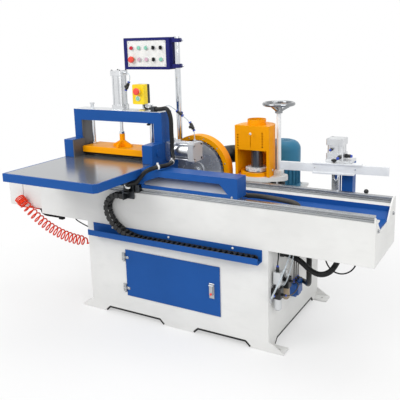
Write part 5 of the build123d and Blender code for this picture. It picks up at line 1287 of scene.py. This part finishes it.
def chain_link():
    """One link: two cheeks with a tongue for the next link, pin heads and cross bars."""
    mesh = bmesh.new()
    half = sizes().chain_width * 500
    tall = sizes().chain_height * 500
    cheek = 4
    cheek_start = -13.5
    cheek_end = 12.5
    play = 0.5
    tongue_outside = half - cheek - play
    tongue_start = 6
    tongue_end = sizes().chain_pitch * 1000 - 7
    tongue_tall = tall * 0.8
    pin = -6.5
    pin_head = [(6.2, -2), (6.2, 0.3), (5.2, 0.8)]
    bar_half = 6
    bar_end = half - 3
    for side in (-1, 1):
        outer = sorted((side * half, side * (half - cheek)))
        inner = sorted((side * tongue_outside, side * (tongue_outside - cheek)))
        slab(mesh, (cheek_start, outer[0], -tall), (cheek_end, outer[1], tall), chamfer=2.2)
        slab(mesh, (tongue_start, inner[0], -tongue_tall), (tongue_end, inner[1], tongue_tall), chamfer=2)
        turned(mesh, pin_head, facing((0, side, 0), mm(pin, side * half, 0)), segments=12)
    for level in (-1, 1):
        bar = sorted((level * tall, level * (tall - cheek)))
        slab(mesh, (-bar_half, -bar_end, bar[0]), (bar_half, bar_end, bar[1]), chamfer=1.2)
    return from_mesh("chain_link", mesh)


def chain_tree():
    """Node tree that sets links along a curve at a pitch, each turned to the curve's run."""
    tree, start, turn, lay = copies_tree("links_along_path", ("Pitch", "Float"))
    turn.axis = "X"
    turn.pivot_axis = "Y"
    points = tree.nodes.new("GeometryNodeCurveToPoints")
    points.mode = "LENGTH"
    tree.links.new(start.outputs["Geometry"], points.inputs["Curve"])
    tree.links.new(start.outputs["Pitch"], points.inputs["Length"])
    tree.links.new(points.outputs["Points"], lay.inputs["Points"])
    tree.links.new(points.outputs["Tangent"], turn.inputs["Vector"])
    return tree


def chain_path():
    """Centre line of the cable chain: from its bracket round the bend and along the tray."""
    row = -396
    upper = 726
    lower = 492.5
    bend = 82
    bend_start = -302
    bend_side = bend_start - bend
    quarter_round = 0.5523
    round_handle = bend * quarter_round
    corners = (
        ((-276, upper), (-262, upper), (-290, upper)),
        ((bend_start, upper), (-292, upper), (bend_start - round_handle, upper)),
        ((bend_side, upper - bend), (bend_side, upper - bend + round_handle), (bend_side, 570.5)),
        ((-149, lower), (-292, lower), (60, lower)),
        ((492, lower), (300, lower), (505, lower)),
    )
    data = bpy.data.curves.new("chain_path", "CURVE")
    data.dimensions = "3D"
    data.resolution_u = 24
    spline = data.splines.new("BEZIER")
    spline.bezier_points.add(len(corners) - 1)
    for point, places in zip(spline.bezier_points, corners):
        point.handle_left_type = "FREE"
        point.handle_right_type = "FREE"
        point.co, point.handle_left, point.handle_right = (mm(x, row, z) for x, z in places)
    return shown("chain_path", data)


class SHAPER_OT_chain(Operator):
    """Makes the cable chain from its links"""

    bl_idname = "shaper.chain"
    bl_label = "Cable chain"

    def execute(self, context):
        link = chain_link()
        path = chain_path()
        values = {"Part": link, "Pitch": sizes().chain_pitch, "Finish": finish(chain_nylon)}
        chain = shown("cable_chain", apply_tree(path, chain_tree(), values))
        bpy.data.objects.remove(path)
        bpy.data.objects.remove(link)
        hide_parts("drag_chain")
        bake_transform(chain)
        return {"FINISHED"}


# Fasteners, with heads of 10 mm that their spots scale


def socket_screw():
    """Cylinder head screw with its drive recess."""
    head = [(5, -2), (5, 4.2), (4.4, 5), (2.7, 5), (2.5, 2), (0, 1.8)]
    return small_part("socket_screw", (12, head))


def dome_screw():
    """Low round head with a small drive recess."""
    head = [(5, -1), (4.8, 0.8), (3.6, 2.2), (1.8, 2.7), (1.6, 1.5), (0, 1.3)]
    return small_part("dome_screw", (12, head))


def hex_bolt():
    """Hexagon head on a washer."""
    washer = [(6.4, -1), (6.4, 0.9)]
    head = [(5, 0.8), (5, 4.2), (4.2, 4.8)]
    return small_part("hex_bolt", (18, washer), (6, head))


def rail_cap():
    """Flat cap over a rail's bolt hole."""
    radius = sizes().rail_cap_radius * 1000
    return small_part("rail_cap", (20, [(radius, -1), (radius, 0.3), (0.86 * radius, 0.3)]))


def rail_cap_spots():
    """Caps at the bolt pitch along both rails."""
    low, high = box_mm("guide_rails")
    pitch = sizes().rail_bolt_pitch * 1000
    least_ends = 30
    count = int((high.x - low.x - least_ends) / pitch)
    first = (low.x + high.x - count * pitch) / 2
    return [((first + i * pitch, y, high.z), UP, 1.0) for y in RAIL_ROWS for i in range(count + 1)]


def panel_screw_spots():
    """Screws in the corners of the control face."""
    low, high = box_mm("panel_face")
    inset = 11
    plate_front = high.y - 2
    columns = (low.x + inset, high.x - inset)
    rows = (low.z + inset, high.z - inset)
    return [((x, plate_front, z), FRONT, 0.7) for x in columns for z in rows]


def hinge_screw_spots():
    """Two screws in each leaf of the door's hinges."""
    column = box_mm("door_hinges")[0].x + 7
    leaf_front = -371
    hinges = (176, 360)
    return [((column, leaf_front, z + offset), FRONT, 0.6) for z in hinges for offset in (-14, 14)]


def hood_screw_spots():
    """Screws along the rim of the saw's hood."""
    x, y, z = BLADE_CENTRE
    rim = 190
    offsets = [polar(rim, degrees) for degrees in range(15, 180, 30)]
    return [((x + dx, y, z + dz), FRONT, 0.9) for dx, dz in offsets]


def bed_bolt_spots():
    """Bolts of the bed's right end plate."""
    height = 696
    return [((BED_RIGHT_END, y, height), RIGHT, 1.6) for y in (-328, -30)]


def motor_bolt_spots():
    """Bolts of the spindle motor's flange."""
    x, y, z = SPINDLE_MOTOR_PLATE
    bolt_circle = 119
    offsets = [polar(bolt_circle, degrees) for degrees in range(45, 360, 90)]
    return [((x + dx, y + dy, z), UP, 1.2) for dx, dy in offsets]


def cylinder_screw_spots():
    """Four screws on the press cylinder's top and four on the side cylinder's end."""
    corners = [(a, b) for a in (-1, 1) for b in (-1, 1)]
    x, y, z = PRESS_CYLINDER_TOP
    half = 29
    press = [((x + half * a, y + half * b, z), UP, 0.9) for a, b in corners]
    x, y, z = SIDE_CYLINDER_END
    half = 40
    return press + [((x, y + half * a, z + half * b), RIGHT, 1.2) for a, b in corners]


def tray_screw_spots():
    """Screws that hold the tray's back to the cabinet."""
    tray_back = -370.5
    height = 520
    return [((x, tray_back, height), FRONT, 1.3) for x in (-381, -8, 372)]


def arm_bolt_spots():
    """Bolt on the foot of the carriage arm."""
    low, high = box_mm("carriage_arm")
    from_end = 30
    above_foot = 6
    return [((high.x - from_end, low.y, low.z + above_foot), FRONT, 1.0)]


def cover_screw_spots():
    """Screws of the shaper hood: at the top of its slot and on its right side."""
    low, high = box_mm("shaper_hood")
    above_slot = (283, low.y, 1027)
    right_side = (high.x, 108, 819)
    return [(above_slot, FRONT, 1.4), (right_side, RIGHT, 1.4)]


class SHAPER_OT_fasteners(Operator):
    """Sets the screws, bolts and rail caps"""

    bl_idname = "shaper.fasteners"
    bl_label = "Fasteners"

    def execute(self, context):
        cap = rail_cap()
        socket = socket_screw()
        dome = dome_screw()
        bolt = hex_bolt()
        rows = (
            ("rail_caps", cap, rail_cap_spots(), "machine", zinc_screw, "ground_steel"),
            ("panel_screws", dome, panel_screw_spots(), "panel", zinc_screw),
            ("hinge_screws", dome, hinge_screw_spots(), "machine", zinc_screw),
            ("hood_screws", dome, hood_screw_spots(), "machine", zinc_screw),
            ("bed_bolts", bolt, bed_bolt_spots(), "machine", zinc_screw),
            ("motor_bolts", bolt, motor_bolt_spots(), "machine", zinc_screw),
            ("cylinder_screws", socket, cylinder_screw_spots(), "carriage", black_screw),
            ("tray_screws", dome, tray_screw_spots(), "machine", white_clip),
            ("arm_bolts", bolt, arm_bolt_spots(), "carriage", zinc_screw),
            ("cover_screws", dome, cover_screw_spots(), "machine", white_clip),
        )
        scatter_all(rows, (cap, socket, dome, bolt))
        return {"FINISHED"}


# Air fittings, glands and knobs


def port_fitting():
    """Black push-in air fitting that stands on a port."""
    foot = [(9.5, -2), (9.5, 9)]
    barrel = [(7.8, 8), (7.8, 22), (6.6, 24)]
    return small_part("port_fitting", (6, foot), (16, barrel))


def port_ring():
    """Blue release ring on the end of a push-in fitting."""
    return small_part("port_ring", (16, [(6.4, 23.5), (6.4, 30), (4, 31)]))


def gland():
    """Black cable gland: a hexagon foot and a dome nut."""
    foot = [(24, -1), (24, 8)]
    nut = [(20.5, 7), (20.5, 18), (16.5, 24)]
    return small_part("gland", (6, foot), (18, nut))


def hand_knob():
    """Black hand knob with a waisted neck."""
    knob = [(8, 0), (8, 6), (17, 9), (19, 14), (17, 22), (10, 25), (0, 26)]
    return small_part("hand_knob", (20, knob))


def ball_handle():
    """Clamp screw with a ball end."""
    handle = [(4.2, -1), (4.2, 10), (6, 12), (7.2, 16.5), (6, 21), (3, 23.5), (0, 24)]
    return small_part("ball_handle", (16, handle))


def machine_port_spots():
    """Ports of the air unit, its valves and the aligner cylinder."""
    unit = [
        ((AIR_UNIT_X, -343, 307), FRONT, 0.9),
        ((AIR_UNIT_X, -235, 323), FRONT, 0.8),
        ((AIR_UNIT_X, -320, 418), UP, 1.0),
        ((615, -320, 300), RIGHT, 0.8),
        ((615, -212, 330), RIGHT, 0.8),
    ]
    valves = [((VALVE_X, y, 254), UP, 0.8) for y in VALVE_ROWS]
    aligner = [
        ((783, 135, 925), RIGHT, 1.2),
        ((766, 90, 924), FRONT, 1.2),
        ((722, 95, 962), FRONT, 0.9),
    ]
    return unit + valves + aligner


def gland_spots():
    """Where the two wide hoses leave the cabinet and enter the bed."""
    cabinet = [(route[end], RIGHT, 0.9) for route, end in ((LOOP_HOSE, 0), (DROP_HOSE, -1))]
    bed = [(route[end], DOWN, 0.9) for route, end in ((LOOP_HOSE, -1), (DROP_HOSE, 0))]
    return cabinet + bed


def edge_trim(mesh, corners, outward):
    """Adds a black strip along the edge of a cut-out, through its corners: painted shadow for the dark
    inside of the opening.
    """
    lap = 1
    depth = 9
    wall = 7
    proud = 1.5
    for start, stop in zip(corners, corners[1:]):
        run = stop - start
        along = run.normalized()
        below = outward.cross(along).normalized()
        if below.z > 0:
            below = -below
        place = Matrix.Translation(start) @ Matrix((along, below, outward)).transposed().to_4x4()
        slab(mesh, (-lap, -lap, -wall), (run.length * 1000 + lap, depth, proud), chamfer=1, place=place)


def foot_trims():
    """Black strips, finished as rubber, along the foot cut-outs of the cabinet's front and end walls:
    painted shadow for the shade inside the openings.
    """
    mesh = bmesh.new()
    top = 34
    slope = 36
    foot = 9
    rise = slope * foot / top

    def cut_out(left, right):
        return (left + rise, foot), (left + slope, top), (right - slope, top), (right - rise, foot)

    for left, right in ((-473, -51), (117, 473)):
        edge_trim(mesh, [mm(x, CABINET_FRONT, z) for x, z in cut_out(left, right)], FRONT)
    side_half = 296
    for outward in (LEFT, RIGHT):
        wall = CABINET_END * outward.x
        edge_trim(mesh, [mm(wall, y, z) for y, z in cut_out(-side_half, side_half)], outward)
    # painted shadow: black rubber strips stand in for the shade inside the foot cut-outs
    piece("foot_trims", mesh, (black_rubber,), "machine")


class SHAPER_OT_fittings(Operator):
    """Sets the air fittings, cable glands, hand knobs and the black strips of painted shadow at the foot
    cut-outs
    """

    bl_idname = "shaper.fittings"
    bl_label = "Fittings and knobs"

    def execute(self, context):
        port = port_fitting()
        ring = port_ring()
        nut = gland()
        knob = hand_knob()
        ball = ball_handle()
        ports = machine_port_spots()
        spindle_knobs = [((392, 100, 760), DOWN, 0.9), ((432, 128, 760), DOWN, 1.0)]
        gantry_knob = [((-279, -120, 1083), DOWN, 0.6)]
        aligner_knob = [((737, 92, 893), UP, 0.8)]
        clamps = [((-249, 200, z), RIGHT, 1.0) for z in (1386, 1538)]
        rows = (
            ("air_ports", port, ports, "machine", black_moulding),
            ("air_port_rings", ring, ports, "machine", blue_ring),
            ("cable_glands", nut, gland_spots(), "machine", black_moulding),
            ("spindle_knobs", knob, spindle_knobs, "machine", black_moulding),
            ("gantry_knob", knob, gantry_knob, "carriage", black_moulding),
            ("aligner_knob", knob, aligner_knob, "aligner", black_moulding),
            ("clamp_handles", ball, clamps, "panel", chrome_plate),
        )
        scatter_all(rows, (port, ring, nut, knob, ball))
        # black strips of painted shadow along the foot cut-outs
        foot_trims()
        return {"FINISHED"}


# Stage

CAMERA_PLACE = (1.6396, -2.8385, 1.556)
CAMERA_AZIMUTH = math.radians(30.27)
CAMERA_PITCH = math.radians(11.88)
CAMERA_ROLL = math.radians(1.66)
CAMERA_SHIFT = -0.1
SENSOR_WIDTH = 36.0
FLOOR_RADIUS = 40.0
FLOOR_LEVEL = -0.0005
FLOOR_GREY = (0.86, 0.86, 0.86)
FLOOR_FADE = (0.75, 1.9)
WORLD_LIGHT = 0.52
WHITE = (1, 1, 1)

# Name, place, target, size and power of the soft boxes

LAMPS = (
    ("key", (-2.2, -3.4, 3.6), (0, 0, 0.7), (2.6, 2.6), 112),
    ("fill", (3.6, -2.2, 2.6), (0, 0, 0.7), (2.4, 2.4), 60),
    ("top", (0.3, 0.8, 4.2), (0, 0, 0.6), (3.0, 2.0), 48),
)


def seen(tree):
    """One for what the camera sees, also in a mirror or through glass, nought for light on the machine."""
    path = tree.nodes.new("ShaderNodeLightPath")
    direct = maths(tree, "MAXIMUM", path.outputs["Is Camera Ray"], path.outputs["Is Glossy Ray"])
    return maths(tree, "MAXIMUM", direct, path.outputs["Is Transmission Ray"])


def mix_shaders(tree, factor, first, second, output):
    """Links two shaders, mixed by a factor, to a tree's output."""
    blend = tree.nodes.new("ShaderNodeMixShader")
    for socket, source in zip(blend.inputs, (factor, first, second)):
        tree.links.new(source, socket)
    tree.links.new(blend.outputs["Shader"], output.inputs["Surface"])


def background(tree, strength):
    """White surroundings of a strength."""
    node = tree.nodes.new("ShaderNodeBackground")
    feed(tree, node.inputs["Color"], WHITE)
    feed(tree, node.inputs["Strength"], strength)
    return node.outputs["Background"]


def floor_finish():
    """Pale floor that keeps the machine's shadow and fades to white."""
    material, tree, shader = new_material("pale_floor")
    feed(tree, shader.inputs["Base Color"], FLOOR_GREY)
    feed(tree, shader.inputs["Roughness"], 0.75)
    feed(tree, shader.inputs["Specular IOR Level"], 0.1)
    white = tree.nodes.new("ShaderNodeEmission")
    feed(tree, white.inputs["Strength"], 1.0)
    distance = vector_maths(tree, "LENGTH", object_place(tree)).outputs["Value"]
    share = maths(tree, "MULTIPLY", seen(tree), spread(tree, distance, 0.5, 1.0, *FLOOR_FADE))
    output = next(node for node in tree.nodes if node.type == "OUTPUT_MATERIAL")
    mix_shaders(tree, share, shader.outputs["BSDF"], white.outputs["Emission"], output)
    return material


def stage_floor():
    """A wide round floor."""
    mesh = bmesh.new()
    bmesh.ops.create_circle(mesh, cap_ends=True, segments=96, radius=FLOOR_RADIUS)
    data = bpy.data.meshes.new("floor")
    mesh.to_mesh(data)
    mesh.free()
    data.materials.append(floor_finish())
    floor = shown("floor", data)
    floor.location.z = FLOOR_LEVEL


def stage_world():
    """Soft white surroundings."""
    world = bpy.data.worlds.new("studio")
    world.use_nodes = True
    tree = world.node_tree
    tree.nodes.clear()
    output = tree.nodes.new("ShaderNodeOutputWorld")
    mix_shaders(tree, seen(tree), background(tree, WORLD_LIGHT), background(tree, 1.0), output)
    bpy.context.scene.world = world


def lamp(name, place, target, size, power):
    """A soft box that looks at a point."""
    data = bpy.data.lights.new(name, "AREA")
    data.shape = "RECTANGLE"
    data.size, data.size_y = size
    data.energy = power
    light = shown(name, data)
    light.location = place
    light.rotation_euler = (Vector(target) - Vector(place)).to_track_quat("-Z", "Y").to_euler()


def stage_camera():
    """Camera at the photograph's viewing angle."""
    flat = Vector((math.sin(CAMERA_AZIMUTH), -math.cos(CAMERA_AZIMUTH), 0))
    back = flat * math.cos(CAMERA_PITCH) + UP * math.sin(CAMERA_PITCH)
    right = UP.cross(flat)
    up = back.cross(right)
    turned_right = right * math.cos(CAMERA_ROLL) - up * math.sin(CAMERA_ROLL)
    turned_up = up * math.cos(CAMERA_ROLL) + right * math.sin(CAMERA_ROLL)
    data = bpy.data.cameras.new("camera")
    data.sensor_width = SENSOR_WIDTH
    data.lens = sizes().camera_lens * 1000
    data.shift_y = CAMERA_SHIFT
    camera = shown("camera", data)
    basis = Matrix((turned_right, turned_up, back)).transposed()
    camera.matrix_world = Matrix.Translation(CAMERA_PLACE) @ basis.to_4x4()
    bpy.context.scene.camera = camera


class SHAPER_OT_stage(Operator):
    """Sets the camera, the soft lights, the white surroundings and the floor"""

    bl_idname = "shaper.stage"
    bl_label = "Stage"

    def execute(self, context):
        stage_camera()
        stage_floor()
        stage_world()
        for row in LAMPS:
            lamp(*row)
        context.scene.view_settings.view_transform = "Standard"
        return {"FINISHED"}


# Steps, sidebar and registration

STEPS = (
    SHAPER_OT_stage,
    SHAPER_OT_hoses,
    SHAPER_OT_air_lines,
    SHAPER_OT_finishes,
    SHAPER_OT_chain,
    SHAPER_OT_fasteners,
    SHAPER_OT_fittings,
)


class SHAPER_PT_sidebar(Panel):
    """Lists the steps that dress the machine"""

    bl_idname = "SHAPER_PT_sidebar"
    bl_label = "Finger joint shaper"
    bl_space_type = "VIEW_3D"
    bl_region_type = "UI"
    bl_category = "Shaper"

    def draw(self, context):
        for step in STEPS:
            self.layout.operator(step.bl_idname)
        for group in (context.scene.shaper_colours, context.scene.shaper_sizes):
            for name in group.__annotations__:
                self.layout.prop(group, name)


CLASSES = (ShaperColours, ShaperSizes, *STEPS, SHAPER_PT_sidebar)


def register():
    for each in CLASSES:
        bpy.utils.register_class(each)
    bpy.types.Scene.shaper_colours = PointerProperty(type=ShaperColours)
    bpy.types.Scene.shaper_sizes = PointerProperty(type=ShaperSizes)


def unregister():
    del bpy.types.Scene.shaper_sizes
    del bpy.types.Scene.shaper_colours
    for each in reversed(CLASSES):
        bpy.utils.unregister_class(each)


def main():
    register()
    for step in STEPS:
        group, name = step.bl_idname.split(".")
        getattr(getattr(bpy.ops, group), name)()


if __name__ == "__main__":
    main()
